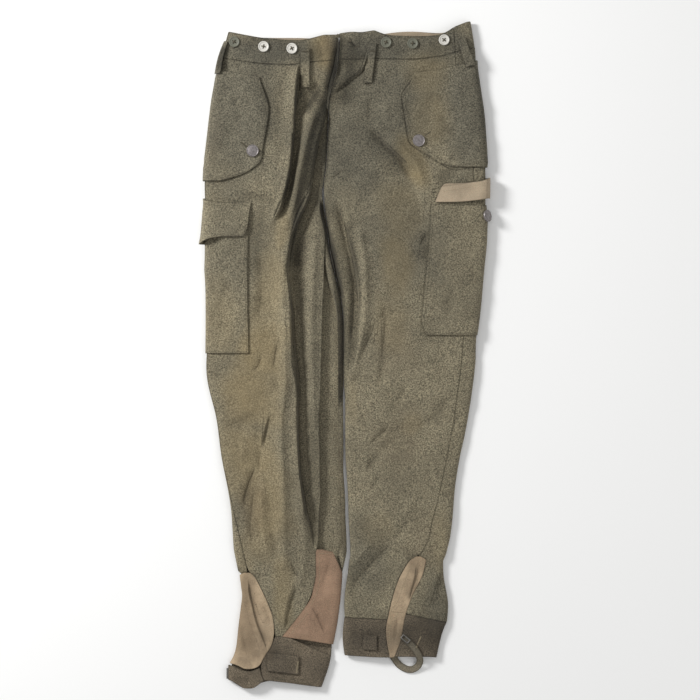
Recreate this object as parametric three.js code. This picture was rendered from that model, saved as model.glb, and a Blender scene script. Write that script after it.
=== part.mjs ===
// Military field trousers of thick wool cloth, laid out on their back with the front up.
// Millimetres, +Z up. The waist points to +Y and the wearer's left leg lies towards +X.
// The origin is on the ground, under the middle of the cloth.
//
// Each leg is a flattened tube. Its sections lie at even steps from the waist to the ankle, and a place
// on a section is its distance c round the tube: 0 at the outer edge, growing over the top towards the
// inner edge, and falling below 0 on the underside. Every cut piece is a stretch of that tube between two
// seams, given its cloth thickness inwards. What lies on a panel is the same stretch moved outwards.
import * as THREE from "three";

// Cloth
const WOOL = 1.8;          // wool of the legs and pockets
const LINED = 2.4;         // wool with a cotton lining, as in the flaps
const BAND = 3.0;          // waistband, two layers
const CUFF = 2.2;          // ankle bands
const GUSSET = 1.2;        // cotton of the gussets
const LINING = 1.0;        // cotton inside the waistband
const FLAP_LINING = 0.9;   // cotton inside a pocket's flap
const SEAM = 0.3;          // space between two pieces that are sewn together
const REST = 0.8;          // space under a piece that lies on a panel

// Lie of the tube
const ROLL = 8;            // how far the cloth takes to roll over at an edge
const ROLL_LENGTH = ROLL * Math.PI / 2;
const ROLL_STEPS = 2;
const FLOOR = 6.4;         // lowest the front can lie, on the back panel
const BAND_FLOOR = 2.2;    // how much higher it must stay at the waistband, for the lining inside
const FLOOR_SOFTNESS = 1.2;
const CROWN = 2.5;         // how much the middle of a leg stands above its edges
const EDGE_SHARE = 0.45;   // height of the widest point, as a share of the cloth's height there
const LAP_SOFTNESS = 1.6;  // half the width of a fold's cliff
const FADE = 45;           // length over which a fold dies out at its ends

// Heights along the body, at the nominal Y of the section
const WAIST_TOP = 513;
const WAIST_SEAM = 472;
const CROTCH = 262;
const HEM = { right: -447, left: -415 };
const CUFF_END = { right: -515, left: -474 };
const SECTIONS = 28;       // sections from the waist seam to the hem

// Height of the cloth's top at an edge: section Y, height
const LEVEL = [
  [-520, 9], [-450, 9], [-380, 9], [-300, 9.5], [-100, 9.5], [100, 10.5], [260, 10.5], [400, 9.5],
  [472, 10.5], [540, 11],
];

// The fly and the middle seam above the crotch, the parting of the legs below it: section Y, X
const MIDDLE = [
  [262, -40], [302, -33.6], [342, -31], [382, -29.6], [418, -28.8], [434, -22.4], [454, -15.6], [475, -12.6],
  [494, -12.2], [540, -12],
];
const PARTING = [
  [-50, -5], [-10, -5], [46, -5], [82, -6], [118, -13], [150, -22.5], [174, -27.5], [206, -30], [238, -34.5],
];

// Outline of each leg: section Y, X. Insets are measured on the top, from the outline to the seam.
const LEG = {
  right: {
    inward: 1,
    outer: [
      [-515, -190], [-495, -190], [-485, -184], [-470, -177], [-440, -174.5], [-410, -170.5], [-380, -167],
      [-350, -171], [-330, -176], [-300, -181], [-260, -183], [-220, -188], [-180, -196], [-140, -203.5],
      [-100, -206.5], [-65, -216.5], [-30, -225], [0, -226.5], [50, -226], [100, -226], [150, -228],
      [200, -230.5], [250, -230], [283, -230.5], [300, -230], [350, -224], [400, -218], [440, -210.5],
      [472, -201.5], [504, -192], [523, -187],
    ],
    inner: [
      [-515, -40], [-488, -30], [-469, -25], [-450, -21.5], [-430, -17], [-411, -13.5], [-392, -10.5],
      [-354, -7], [-334, -5.5], [-312, 0.5], [-296, 0.5], [-258, -1], [-240, -3.5], [-220, -1.5], [-180, -5.5],
      [-142, -4.5], [-104, -5], [-66, -5.8], ...PARTING.map(([y, x]) => [y, x - 1.5 * SEAM]), ...MIDDLE,
    ],
    // Inset of the front panel's outer seam, then of the back panel's: they part at the ankle gusset.
    frontOuter: [
      [-515, 58], [-480, 49], [-466, 55], [-447, 61], [-435, 62], [-426, 63], [-418, 57], [-394, 41],
      [-370, 33], [-346, 25], [-340, 15.4], [-330, 15.7], [-298, 13.6], [-258, 5.6], [-225, 3], [-200, 1.5],
      [472, 1.5],
    ],
    backOuter: [
      [-447, -8], [-346, -8], [-340, 15.4], [-330, 15.7], [-298, 13.6], [-258, 5.6], [-225, 3], [-200, 1.5],
      [472, 1.5],
    ],
    frontInner: [
      [-448, 0], [-447, 82], [-442, 79], [-416, 66], [-392, 51], [-370, 44], [-354, 42], [-338, 43], [-322, 48],
      [-308, 50], [-302, 47], [-225, 40], [-178, 37], [-114, 39], [-50, 36], [30, 34], [80, 32], [110, 25],
      [174, 7], [240, 0], [472, 0],
    ],
    backInner: [
      [-448, 0], [-447, -8], [-350, -8], [-338, 2], [-322, 10], [-308, 22], [-302, 47], [-225, 40], [-178, 37],
      [-114, 39], [-50, 36], [30, 34], [80, 32], [110, 25], [174, 7], [240, 0], [472, 0],
    ],
    // Lines that the columns of the front panel follow: the waist pleat and the long valley
    guides: [
      [[-447, -138], [-300, -140], [-200, -143], [-100, -136], [0, -134], [120, -142], [190, -131], [229, -107],
        [275, -95], [320, -87], [384, -83], [438, -77], [472, -75]],
      [[-447, -66], [-298, -53.5], [-258, -61.5], [-218, -68], [-181, -74], [-138, -76], [-90, -77.5],
        [-53, -74.5], [-21, -77.5], [30, -84], [78, -85.5], [109, -90.5], [142, -93.5], [178, -90.5], [202, -85.5],
        [222, -77.5], [237, -68], [258, -58.5], [286, -55], [318, -50.5], [354, -42.5], [382, -36], [420, -40],
        [472, -36]],
    ],
  },
  left: {
    inward: -1,
    outer: [
      [-474, 144], [-450, 149], [-430, 154], [-411, 162], [-392, 165.5], [-373, 162.5], [-354, 156],
      [-338, 150.5], [-330, 151.5], [-315, 159], [-296, 164], [-258, 170], [-220, 172], [-180, 177], [-142, 185],
      [-104, 193], [-66, 199], [-30, 205], [0, 207], [30, 209], [69, 214.5], [107, 218], [145, 221], [184, 225.5],
      [222, 226], [260, 227.5], [300, 227], [350, 224], [395, 219.5], [418, 213.5], [456, 208.5], [475, 205.5],
      [494, 202.5], [514, 199], [533, 196],
    ],
    inner: [
      [-474, -3], [-450, -7], [-430, -5.5], [-411, -3], [-392, -5.5], [-373, -2], [-354, 1], [-335, 1],
      [-315, 6], [-296, 6], [-258, 3], [-220, 2.6], [-200, 1.5], [-180, -0.5], [-160, -2], [-104, -2.4],
      [-66, -1.8],
      ...PARTING.map(([y, x]) => [y, x + 1.5 * SEAM]), ...MIDDLE.map(([y, x]) => [y, x + 2 * SEAM]),
    ],
    frontOuter: [
      [-474, 75], [-430, 92], [-415, 95], [-400, 97], [-380, 91], [-361, 80], [-344, 66], [-323, 55],
      [-314, 46], [-310, 40.5], [-290, 34], [-260, 33], [-218, 24], [-160, 21], [-105, 22],
      [-40, 24], [15, 22], [35, 20], [95, 21.5],
      [175, 21], [254, 22], [302, 19], [335, 25], [375, 35], [418, 31], [456, 33], [494, 30], [540, 24],
    ],
    backOuter: [
      [-474, 67], [-450, 60], [-430, 63], [-415, 66], [-402, 68], [-380, 58], [-366, 46], [-347, 31],
      [-331, 25], [-320, 29], [-314, 44], [-310, 40.5], [-290, 34], [-260, 33], [-218, 24],
      [-160, 21], [-105, 22], [-40, 24], [15, 22], [35, 20],
      [95, 21.5], [175, 21], [254, 22], [302, 19], [335, 25], [375, 35], [418, 31], [456, 33], [494, 30],
      [540, 24],
    ],
    frontInner: [[-415, 0], [472, 0]],
    backInner: [[-415, 0], [472, 0]],
    guides: [
      [[-415, 82], [-300, 100], [-200, 118], [-100, 118], [0, 112], [120, 112], [222, 122], [277, 114],
        [296, 104], [318, 92], [354, 52], [420, 42], [472, 44]],
      [[-415, 26], [-300, 34], [-200, 36], [-100, 30], [-42, 3], [-10, 6], [22, 13.5], [62, 19], [94, 20],
        [118, 18], [155, 12], [190, 4], [230, -3], [278, -8], [340, -6], [420, -2], [440, 6], [472, 22]],
    ],
  },
};

// How far the sections bend away from their nominal Y: X, shift
const BEND_SEAM = [
  [-200, 9], [-175, 5], [-150, 1], [-125, -2], [-95, -3], [-75, 0], [-42, 4], [-10, 6], [20, 7], [50, 8],
  [78, 6], [105, 6], [125, 8], [150, 11], [180, 20], [212, 28],
];
const BEND_TOP_FRONT = [
  [-188, 10], [-163, 5], [-135, -1], [-107, -4], [-75, -4], [-52, 0.5], [-34, 5], [-15, 5], [-4, 11], [22, 9],
  [46, 12], [56, 11], [64, 3], [100, 2.5], [148, 2], [165, 13], [182, 23], [198, 27],
];
const BEND_TOP_BACK = [
  [-188, 9], [-163, 4], [-135, 0], [-107, 1], [-75, 1.5], [-52, 0], [-15, -2], [46, 2], [60, 9], [100, 12],
  [135, 11], [150, 4], [165, 8], [182, 20], [198, 26],
];
const BEND_REACH = 170;    // how far below the waist seam its bend dies out
const HEM_REACH = 120;     // how far above the hem its slant dies out
const BEND_HEM = {
  right: [[-180, 8], [-110, 4], [-20, -10]],
  left: [[-5, 2], [66, -1], [98, 8], [130, 0], [160, -6]],
};
const BEND_CUFF = {
  right: [[-190, 2], [-175, -3], [-162, -13], [-150, -12], [-138, -3], [-130, 1.5], [-98, -2], [-40, -10]],
  left: [[-5, 0], [70, -3], [100, 6], [145, -4]],
};

// The largest folds, drawn from the waist down. West and east are the heights just beside the line on its
// -X and +X sides, each with the distance over which it dies away.
const FOLDS = {
  right: [
    { name: "waist pleat", west: [3, 16], east: [-5, 13],
      path: [[-75, 480], [-77, 438], [-83, 384], [-87, 320], [-95, 275], [-107, 229], [-122, 214]] },
    { name: "slant beside the fly", west: [-4, 11], east: [-4, 11],
      path: [[-22, 460], [-49, 430], [-66, 403], [-76, 379], [-79, 340], [-84, 310]] },
    { name: "ridge beside the fly", west: [5, 12], east: [5, 12],
      path: [[-40, 405], [-55, 360], [-66, 320], [-70, 280], [-80, 235]] },
    { name: "long valley", west: [3.5, 22], east: [-8, 13],
      path: [[-31, 425], [-33, 382], [-42, 354], [-50, 318], [-55, 286], [-58, 258], [-68, 237], [-78, 222],
        [-86, 202], [-90, 178], [-94, 142], [-90, 109], [-86, 78], [-84, 30], [-78, -21], [-74, -53], [-78, -90],
        [-76, -138], [-74, -181], [-68, -218], [-61, -258], [-52, -305]] },
    { name: "crest beside the valley", west: [4, 14], east: [4, 14],
      path: [[-88, 222], [-98, 180], [-102, 140], [-100, 95], [-95, 30], [-98, -25], [-104, -66], [-108, -120],
        [-107, -170], [-100, -225], [-96, -280]] },
    { name: "thigh hollow", west: [-2.5, 18], east: [-2.5, 18],
      path: [[-120, 215], [-138, 180], [-143, 140], [-138, 100], [-142, 60]] },
    { name: "shin hollow", west: [-3, 12], east: [-3, 12],
      path: [[-126, -88], [-131, -130], [-144, -175], [-154, -215], [-148, -260], [-150, -300]] },
  ],
  left: [
    { name: "fly edge", west: [0, 10], east: [4, 20],
      path: [[-5, 535], [-9, 475], [-22, 434], [-29, 410], [-29, 380]] },
    { name: "fly crease", west: [-3, 7], east: [-3, 7],
      path: [[27, 495], [29, 475], [19, 458], [4, 445], [-8, 430], [-20, 418]] },
    { name: "hip slant", west: [-3.5, 14], east: [2.5, 20],
      path: [[30, 375], [53, 350], [71, 334], [93, 314], [105, 296], [114, 275], [119, 248], [130, 222]] },
    { name: "inner crest", west: [3, 11], east: [3, 11],
      path: [[-30, 246], [-25, 198], [-18, 158], [-9, 118], [0, 92]] },
    { name: "inner valley", west: [-6, 11], east: [4, 18],
      path: [[-8, 250], [4, 195], [12, 155], [18, 118], [21, 94], [21, 62], [18, 22], [14, -10], [10, -42]] },
    { name: "knee slant", west: [-3, 15], east: [-3, 15],
      path: [[156, -78], [134, -94], [105, -122], [65, -144], [47, -165], [26, -182]] },
    { name: "shin slant", west: [-3, 16], east: [-3, 16],
      path: [[128, -232], [104, -270], [85, -296], [54, -322], [24, -354]] },
  ],
};

// Pockets and flaps lie round the outer edge of a leg. Under is their reach on the underside, front is the
// X of their front edge at each section Y, and dip is how much lower the outer end of a flap lies.
const ON_PANEL = REST + WOOL;              // outer face of wool that lies on a panel
const FLAP_LIFT = REST + LINED;            // outer face of a lined flap that lies on a panel
const POCKET = {
  right: { top: 226, bottom: 9, under: 70, front: [[9, -156], [140, -158], [226, -156]] },
  left: { top: 246, bottom: 38, under: 70, front: [[38, 126], [44, 120], [52, 119], [140, 127], [246, 134]] },
};
const CARGO_FLAP = {
  right: { top: 250, bottom: 195, under: 72, dip: 12, rise: 7,
    front: [[195, -164], [200, -159], [250, -152]] },
  left: { top: 280, bottom: 250, under: 60, dip: 5, rise: 10,
    front: [[250, 141], [263, 147], [272, 151], [280, 154]] },
};
const HIP_FLAP = {
  right: { top: 452, bottom: 284, under: 26, dip: 0, rise: 0,
    front: [[284, -204], [287, -190], [295, -165], [305, -148], [313, -139], [321, -135], [350, -132],
      [398, -122], [430, -133], [452, -139]] },
  left: { top: 452, bottom: 306, under: 26, dip: 4, rise: 0,
    front: [[306, 168], [316, 140], [330, 118], [341, 103], [351, 98], [378, 94], [414, 89], [425, 90],
      [452, 107]] },
};
const LIFT_SPREAD = 40;    // distance over which the back panel comes down again beside what lies under it
const LIFT_MARGIN = 4;     // how far past its edge a piece still holds the panel up

const clamp = THREE.MathUtils.clamp;
const lerp = THREE.MathUtils.lerp;
const smooth = (a, b, t) => THREE.MathUtils.smoothstep(t, Math.min(a, b), Math.max(a, b));

// Smooth value of a table of [key, value] rows at a key. It never overshoots its rows.
function along(table, key) {
  const last = table.length - 1;
  if (key <= table[0][0]) return table[0][1];
  if (key >= table[last][0]) return table[last][1];
  let i = 0;
  while (key > table[i + 1][0]) i += 1;
  const slope = (a) => (table[a + 1][1] - table[a][1]) / (table[a + 1][0] - table[a][0]);
  const meet = (a, b) => (a * b <= 0 ? 0 : (2 * a * b) / (a + b));
  const here = slope(i);
  const m0 = i > 0 ? meet(slope(i - 1), here) : here;
  const m1 = i < last - 1 ? meet(here, slope(i + 1)) : here;
  const step = table[i + 1][0] - table[i][0];
  const t = (key - table[i][0]) / step;
  const t2 = t * t;
  const t3 = t2 * t;
  return (2 * t3 - 3 * t2 + 1) * table[i][1] + (t3 - 2 * t2 + t) * step * m0
    + (3 * t2 - 2 * t3) * table[i + 1][1] + (t3 - t2) * step * m1;
}

// A fold's line as a smooth run of short straights, with the length up to each point
function drawn(fold) {
  const places = fold.path.map(([x, y]) => new THREE.Vector3(x, y, 0));
  const curve = new THREE.CatmullRomCurve3(places, false, "centripetal");
  const points = curve.getSpacedPoints(fold.path.length * 4);
  const lengths = [0];
  for (let i = 1; i < points.length; i += 1) {
    lengths.push(lengths[i - 1] + points[i].distanceTo(points[i - 1]));
  }
  return { ...fold, points, lengths };
}
const LINES = { right: FOLDS.right.map(drawn), left: FOLDS.left.map(drawn) };

// Height that one fold adds at a place
function foldHeight(fold, x, y) {
  let best = Infinity;
  let side = 0;
  let run = 0;
  for (let i = 1; i < fold.points.length; i += 1) {
    const a = fold.points[i - 1];
    const b = fold.points[i];
    const ux = b.x - a.x;
    const uy = b.y - a.y;
    const step = ux * ux + uy * uy;
    const t = clamp(((x - a.x) * ux + (y - a.y) * uy) / step, 0, 1);
    const dx = x - a.x - ux * t;
    const dy = y - a.y - uy * t;
    const far = Math.hypot(dx, dy);
    if (far < best) {
      best = far;
      side = Math.sign(ux * dy - uy * dx) || 1;
      run = fold.lengths[i - 1] + Math.sqrt(step) * t;
    }
  }
  const total = fold.lengths[fold.lengths.length - 1];
  const fade = Math.min(FADE, total / 3);
  const life = smooth(0, fade, run) * smooth(0, fade, total - run);
  const d = side * best;
  const bell = ([height, reach]) => height * Math.exp(-((d / reach) ** 2));
  return life * lerp(bell(fold.west), bell(fold.east), smooth(-LAP_SOFTNESS, LAP_SOFTNESS, d));
}

// Height of the front's outer surface above the ground
function topHeight(side, x, y, share) {
  let h = along(LEVEL, y) + CROWN * Math.sin(Math.PI * clamp(share, 0, 1));
  for (const fold of LINES[side]) h += foldHeight(fold, x, y);
  const under = underHeight(side, x, y);
  const floor = FLOOR + under + BAND_FLOOR * smooth(WAIST_SEAM - 25, WAIST_SEAM - 2, y);
  return floor + FLOOR_SOFTNESS * Math.log1p(Math.exp((h + under / 2 - floor) / FLOOR_SOFTNESS));
}

// How far the tube is moved for what lies on it between two heights
const within = (bottom, top, spread, v) => smooth(bottom - spread - LIFT_MARGIN, bottom - LIFT_MARGIN, v)
  * (1 - smooth(top + LIFT_MARGIN, top + spread + LIFT_MARGIN, v));
const stacked = (side) => [
  { ...POCKET[side], lift: ON_PANEL, dip: 0, rise: 0 }, { ...CARGO_FLAP[side], lift: FLAP_LIFT },
  { ...HIP_FLAP[side], lift: FLAP_LIFT },
];

// Height of the back's outer surface: on the ground, but over what lies under it
function underHeight(side, x, y) {
  const inset = Math.abs(x - along(LEG[side].outer, y));
  let lift = 0;
  for (const layer of stacked(side)) {
    lift += layer.lift * within(layer.bottom - layer.dip, layer.top + layer.rise, LIFT_SPREAD, y)
      * (1 - smooth(layer.under + LIFT_MARGIN, layer.under + LIFT_MARGIN + LIFT_SPREAD, inset));
  }
  return lift;
}

// How far the outline is drawn in for what is wrapped round it
function edgeInset(side, y) {
  let inset = 0;
  for (const layer of stacked(side)) {
    inset += layer.lift * within(layer.bottom - layer.dip, layer.top + layer.rise, LIFT_SPREAD / 2, y);
  }
  return inset;
}

// Sizes of one section
function section(side, y) {
  const leg = LEG[side];
  const outerX = along(leg.outer, y) + leg.inward * edgeInset(side, y);
  const innerX = along(leg.inner, y);
  const width = Math.abs(innerX - outerX);
  const innerRoll = Math.max(0.01, ROLL * (1 - smooth(CROTCH - 70, CROTCH, y)));
  const innerLength = innerRoll * Math.PI / 2;
  const length = width - ROLL - innerRoll + ROLL_LENGTH + innerLength;
  return { outerX, width, innerRoll, innerLength, length };
}

// Shift of a section's point in Y, at its X
function bend(side, x, y, onTop) {
  const hem = HEM[side];
  if (y > WAIST_SEAM) {
    const t = (y - WAIST_SEAM) / (WAIST_TOP - WAIST_SEAM);
    return lerp(along(BEND_SEAM, x), along(onTop ? BEND_TOP_FRONT : BEND_TOP_BACK, x), t);
  }
  if (y < hem) {
    return lerp(along(BEND_HEM[side], x), along(BEND_CUFF[side], x), (hem - y) / (hem - CUFF_END[side]));
  }
  return along(BEND_SEAM, x) * smooth(WAIST_SEAM - BEND_REACH, WAIST_SEAM, y)
    + along(BEND_HEM[side], x) * (1 - smooth(hem, hem + HEM_REACH, y));
}

// Point of the tube's outer surface at distance c round the section at nominal height y
function tubePoint(side, c, y) {
  const s = section(side, y);
  const onTop = c >= 0 && c <= s.length;
  const e = c < 0 ? -c : c > s.length ? 2 * s.length - c : c;
  let dx = ROLL + e - ROLL_LENGTH;
  let rise = 1;
  if (e < ROLL_LENGTH) {
    dx = ROLL * (1 - Math.cos(e / ROLL));
    rise = Math.sin(e / ROLL);
  } else if (e > s.length - s.innerLength) {
    const angle = (s.length - e) / s.innerRoll;
    dx = s.width - s.innerRoll * (1 - Math.cos(angle));
    rise = Math.sin(angle);
  }
  const x = s.outerX + LEG[side].inward * dx;
  // Heights are read clear of the rolled edges and of the fly's edge.
  const inside = clamp(dx, ROLL, s.width - Math.max(s.innerRoll, 2 * LAP_SOFTNESS));
  const readX = s.outerX + LEG[side].inward * inside;
  const top = topHeight(side, readX, y, dx / s.width);
  const under = underHeight(side, readX, y);
  const z = lerp(lerp(under, top, EDGE_SHARE), onTop ? top : under, rise);
  return new THREE.Vector3(x, y + bend(side, x, y, onTop), z);
}

// Outward direction of the tube there
function tubeNormal(side, c, y) {
  const d = 0.5;
  const s = section(side, y);
  // Where the inner edge is a seam with the other leg there is no roll to follow.
  const reach = s.innerRoll < 1 ? s.length : Infinity;
  const ahead = Math.min(c + d, reach);
  const behind = Math.max(c - d, -reach);
  const across = tubePoint(side, ahead, y).sub(tubePoint(side, behind, y));
  const upwards = tubePoint(side, c, y + d).sub(tubePoint(side, c, y - d));
  return across.cross(upwards).multiplyScalar(LEG[side].inward).normalize();
}

// Distance c on the top of a section at an inset from the outer outline, or at an X
function fromInset(side, y, inset) {
  if (inset <= 0) return inset;
  return inset < ROLL ? ROLL * Math.acos(1 - inset / ROLL) : ROLL_LENGTH + inset - ROLL;
}
function fromInnerInset(side, y, inset) {
  const s = section(side, y);
  if (inset <= 0) return s.length - inset;
  if (inset < s.innerRoll) return s.length - s.innerRoll * Math.acos(1 - inset / s.innerRoll);
  return s.length - s.innerLength - (inset - s.innerRoll);
}
const fromX = (side, y, x) => fromInset(side, y, (x - section(side, y).outerX) * LEG[side].inward);

// Keeps a row of columns in rising order, at least a small step apart
const LEAST_STEP = 0.5;
function inOrder(columns) {
  const last = columns.length - 1;
  const out = columns.map((c) => clamp(c, columns[0], columns[last]));
  for (let i = 1; i < last; i += 1) out[i] = Math.max(out[i], out[i - 1] + LEAST_STEP);
  for (let i = last - 1; i > 0; i -= 1) out[i] = Math.min(out[i], out[i + 1] - LEAST_STEP);
  return out;
}

// A closed wall from a grid of outer points and a grid of inner points
function wallOf(outer, inner) {
  const rows = outer.length;
  const columns = outer[0].length;
  const positions = [];
  for (const grid of [outer, inner]) {
    for (const row of grid) for (const p of row) positions.push(p.x, p.y, p.z);
  }
  const at = (layer, r, c) => layer * rows * columns + r * columns + c;
  const index = [];
  const quad = (a, b, c, d) => index.push(a, b, c, a, c, d);
  for (let r = 0; r < rows - 1; r += 1) {
    for (let c = 0; c < columns - 1; c += 1) {
      quad(at(0, r, c), at(0, r, c + 1), at(0, r + 1, c + 1), at(0, r + 1, c));
      quad(at(1, r, c), at(1, r + 1, c), at(1, r + 1, c + 1), at(1, r, c + 1));
    }
    quad(at(0, r, 0), at(0, r + 1, 0), at(1, r + 1, 0), at(1, r, 0));
    quad(at(0, r, columns - 1), at(1, r, columns - 1), at(1, r + 1, columns - 1), at(0, r + 1, columns - 1));
  }
  for (let c = 0; c < columns - 1; c += 1) {
    quad(at(0, 0, c), at(1, 0, c), at(1, 0, c + 1), at(0, 0, c + 1));
    quad(at(0, rows - 1, c), at(0, rows - 1, c + 1), at(1, rows - 1, c + 1), at(1, rows - 1, c));
  }
  const geometry = new THREE.BufferGeometry();
  geometry.setAttribute("position", new THREE.Float32BufferAttribute(positions, 3));
  geometry.setIndex(facesOut(positions, index));
  geometry.computeVertexNormals();
  return geometry;
}

// The same triangles, turned if they enclose a negative volume
function facesOut(positions, index) {
  const p = (i) => new THREE.Vector3().fromArray(positions, i * 3);
  let volume = 0;
  for (let i = 0; i < index.length; i += 3) {
    volume += p(index[i]).dot(p(index[i + 1]).cross(p(index[i + 2])));
  }
  if (volume > 0) return index;
  const turned = [];
  for (let i = 0; i < index.length; i += 3) turned.push(index[i], index[i + 2], index[i + 1]);
  return turned;
}

// A piece of the tube: rows of nominal heights from the hem up, columns round the section at each row,
// moved out by lift and made thick inwards.
function piece(side, rows, columnsAt, thick, lift = () => 0) {
  const outer = [];
  const inner = [];
  rows.forEach((y, r) => {
    const columns = inOrder(columnsAt(y, r));
    const points = columns.map((c, i) => {
      const normal = tubeNormal(side, c, y);
      const raised = lift(y, i / (columns.length - 1), c);
      return [tubePoint(side, c, y).addScaledVector(normal, raised), normal];
    });
    outer.push(points.map(([p]) => p));
    inner.push(points.map(([p, normal]) => p.clone().addScaledVector(normal, -thick)));
  });
  return wallOf(outer, inner);
}

// Even steps from a to b, both included
const steps = (a, b, n) => Array.from({ length: n + 1 }, (_, i) => lerp(a, b, i / n));
const ordered = (values) => [...new Set(values)].sort((a, b) => a - b);

const MATERIALS = {
  wool: [0x77705c, 0.95], wool_band: [0x5a5145, 0.95], cotton_tan: [0x9b8a6c, 0.9],
  cotton_pink: [0x86705c, 0.9], lining: [0x8b7d69, 0.9],
  button_white: [0xd8d6d0, 0.45], button_green: [0x6e6f60, 0.6],
  button_metal: [0x85807d, 0.4], steel: [0x6f6d6a, 0.35],
};
const model = new THREE.Group();
function add(name, geometry, finish) {
  const [color, roughness] = MATERIALS[finish];
  const metalness = finish === "steel" || finish === "button_metal" ? 0.8 : 0;
  const mesh = new THREE.Mesh(geometry, new THREE.MeshStandardMaterial({ color, roughness, metalness }));
  mesh.name = name;
  model.add(mesh);
  return mesh;
}

// The four leg panels, each from the waist seam to the hem
const ROLL_COLUMNS = steps(-ROLL_LENGTH, ROLL_LENGTH, 2 * ROLL_STEPS);
const GUIDE_OFFSETS = {
  right: [-14, -LAP_SOFTNESS, LAP_SOFTNESS, 13],
  left: [-20, -LAP_SOFTNESS, LAP_SOFTNESS, 13],
};
// Columns between the outer edge and the first guide, as shares: the left ones meet the waistband's corner
const SIDE_SHARES = { right: [0.5], left: [0.32, 0.66] };
// Rows at the corners of gussets, pockets and flaps, and how far other rows keep from them
const ROW_CLEARANCE = 11;
const OWN_ROWS = {
  right: [-346, -340, -308, -302, 5, 179, 261, 280],
  left: [-323, -320, -314, -310, 34, 241, 296],
};
function legRows(side) {
  const even = steps(HEM[side] + SEAM, WAIST_SEAM - SEAM, SECTIONS);
  const near = (y) => OWN_ROWS[side].some((g) => Math.abs(g - y) < ROW_CLEARANCE);
  return ordered([...even.filter((y) => !near(y)), ...OWN_ROWS[side]]);
}
function frontColumns(side, y) {
  const leg = LEG[side];
  const start = fromInset(side, y, along(leg.frontOuter, y)) + SEAM / 2;
  const end = fromInnerInset(side, y, along(leg.frontInner, y)) - SEAM / 2;
  const [first, second] = leg.guides.map((guide) => fromX(side, y, along(guide, y)));
  const lines = [first, second].flatMap((g) => GUIDE_OFFSETS[side].map((d) => g + d));
  const s = section(side, y);
  const rollIn = steps(s.length - s.innerLength, s.length, ROLL_STEPS).slice(0, ROLL_STEPS);
  const beside = SIDE_SHARES[side].map((share) => lerp(ROLL_LENGTH, lines[0], share));
  return [start, ...ROLL_COLUMNS.slice(ROLL_STEPS + 1), ...beside, ...lines.slice(0, 4),
    (lines[3] + lines[4]) / 2, ...lines.slice(4), ...rollIn, end];
}
const BACK_COLUMNS = [-128, -82, -45]; // columns of the back beside the pockets, from the outer edge
const BACK_ROOM = 50;      // least width left beside them, or they are spread evenly
const BACK_SPANS = 5;
function backColumns(side, y) {
  const leg = LEG[side];
  const s = section(side, y);
  const start = fromInset(side, y, along(leg.backOuter, y)) - SEAM / 2;
  const end = fromInnerInset(side, y, along(leg.backInner, y)) - 2 * s.length + SEAM / 2;
  const first = -s.length + s.innerLength;
  const wide = BACK_COLUMNS[0] - first > BACK_ROOM;
  const flat = wide
    ? [first, lerp(first, BACK_COLUMNS[0], 0.5), ...BACK_COLUMNS]
    : steps(first, -ROLL_LENGTH, BACK_SPANS).slice(0, BACK_SPANS);
  const rollIn = steps(-s.length - s.innerLength, first, 2 * ROLL_STEPS).slice(0, 2 * ROLL_STEPS);
  return [end, ...rollIn, ...flat, ...ROLL_COLUMNS, start];
}

// Point of the flat facets that a leg panel is made of, at distance c and nominal height y. What lies on a
// panel follows these, so the space under it stays even.
const ROWS = { right: legRows("right"), left: legRows("left") };
function facetPoint(side, c, y) {
  const rows = ROWS[side];
  const last = rows.length - 1;
  if (y <= rows[0] || y >= rows[last]) return tubePoint(side, c, y);
  let r = 0;
  while (y > rows[r + 1]) r += 1;
  const ends = [rows[r], rows[r + 1]].map((row) => {
    const front = inOrder(frontColumns(side, row));
    const back = inOrder(backColumns(side, row));
    const columns = c > (front[0] + back[back.length - 1]) / 2 ? front : back;
    const held = clamp(c, columns[0], columns[columns.length - 1]);
    let i = 0;
    while (i < columns.length - 2 && held > columns[i + 1]) i += 1;
    const t = (held - columns[i]) / (columns[i + 1] - columns[i]);
    return tubePoint(side, columns[i], row).lerp(tubePoint(side, columns[i + 1], row), t);
  });
  return ends[0].lerp(ends[1], (y - rows[r]) / (rows[r + 1] - rows[r]));
}

// The leg panels, the waistband and the ankle bands
const BAND_ROWS = steps(WAIST_SEAM + SEAM, WAIST_TOP, 3);
const CUFF_ROWS = { right: [-515, -502, -490, -480, -466], left: [-474, -450, -430] };
for (const side of ["right", "left"]) {
  const front = (y) => frontColumns(side, y);
  const back = (y) => backColumns(side, y);
  const cuffRows = [...CUFF_ROWS[side], HEM[side] - SEAM];
  add(`front_${side}`, piece(side, ROWS[side], front, WOOL), "wool");
  add(`back_${side}`, piece(side, ROWS[side], back, WOOL), "wool");
  add(`band_front_${side}`, piece(side, BAND_ROWS, front, BAND), "wool");
  add(`band_back_${side}`, piece(side, BAND_ROWS, back, BAND), "wool");
  add(`cuff_front_${side}`, piece(side, cuffRows, front, CUFF), "wool_band");
  add(`cuff_back_${side}`, piece(side, cuffRows, back, CUFF), "wool_band");
}

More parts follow.
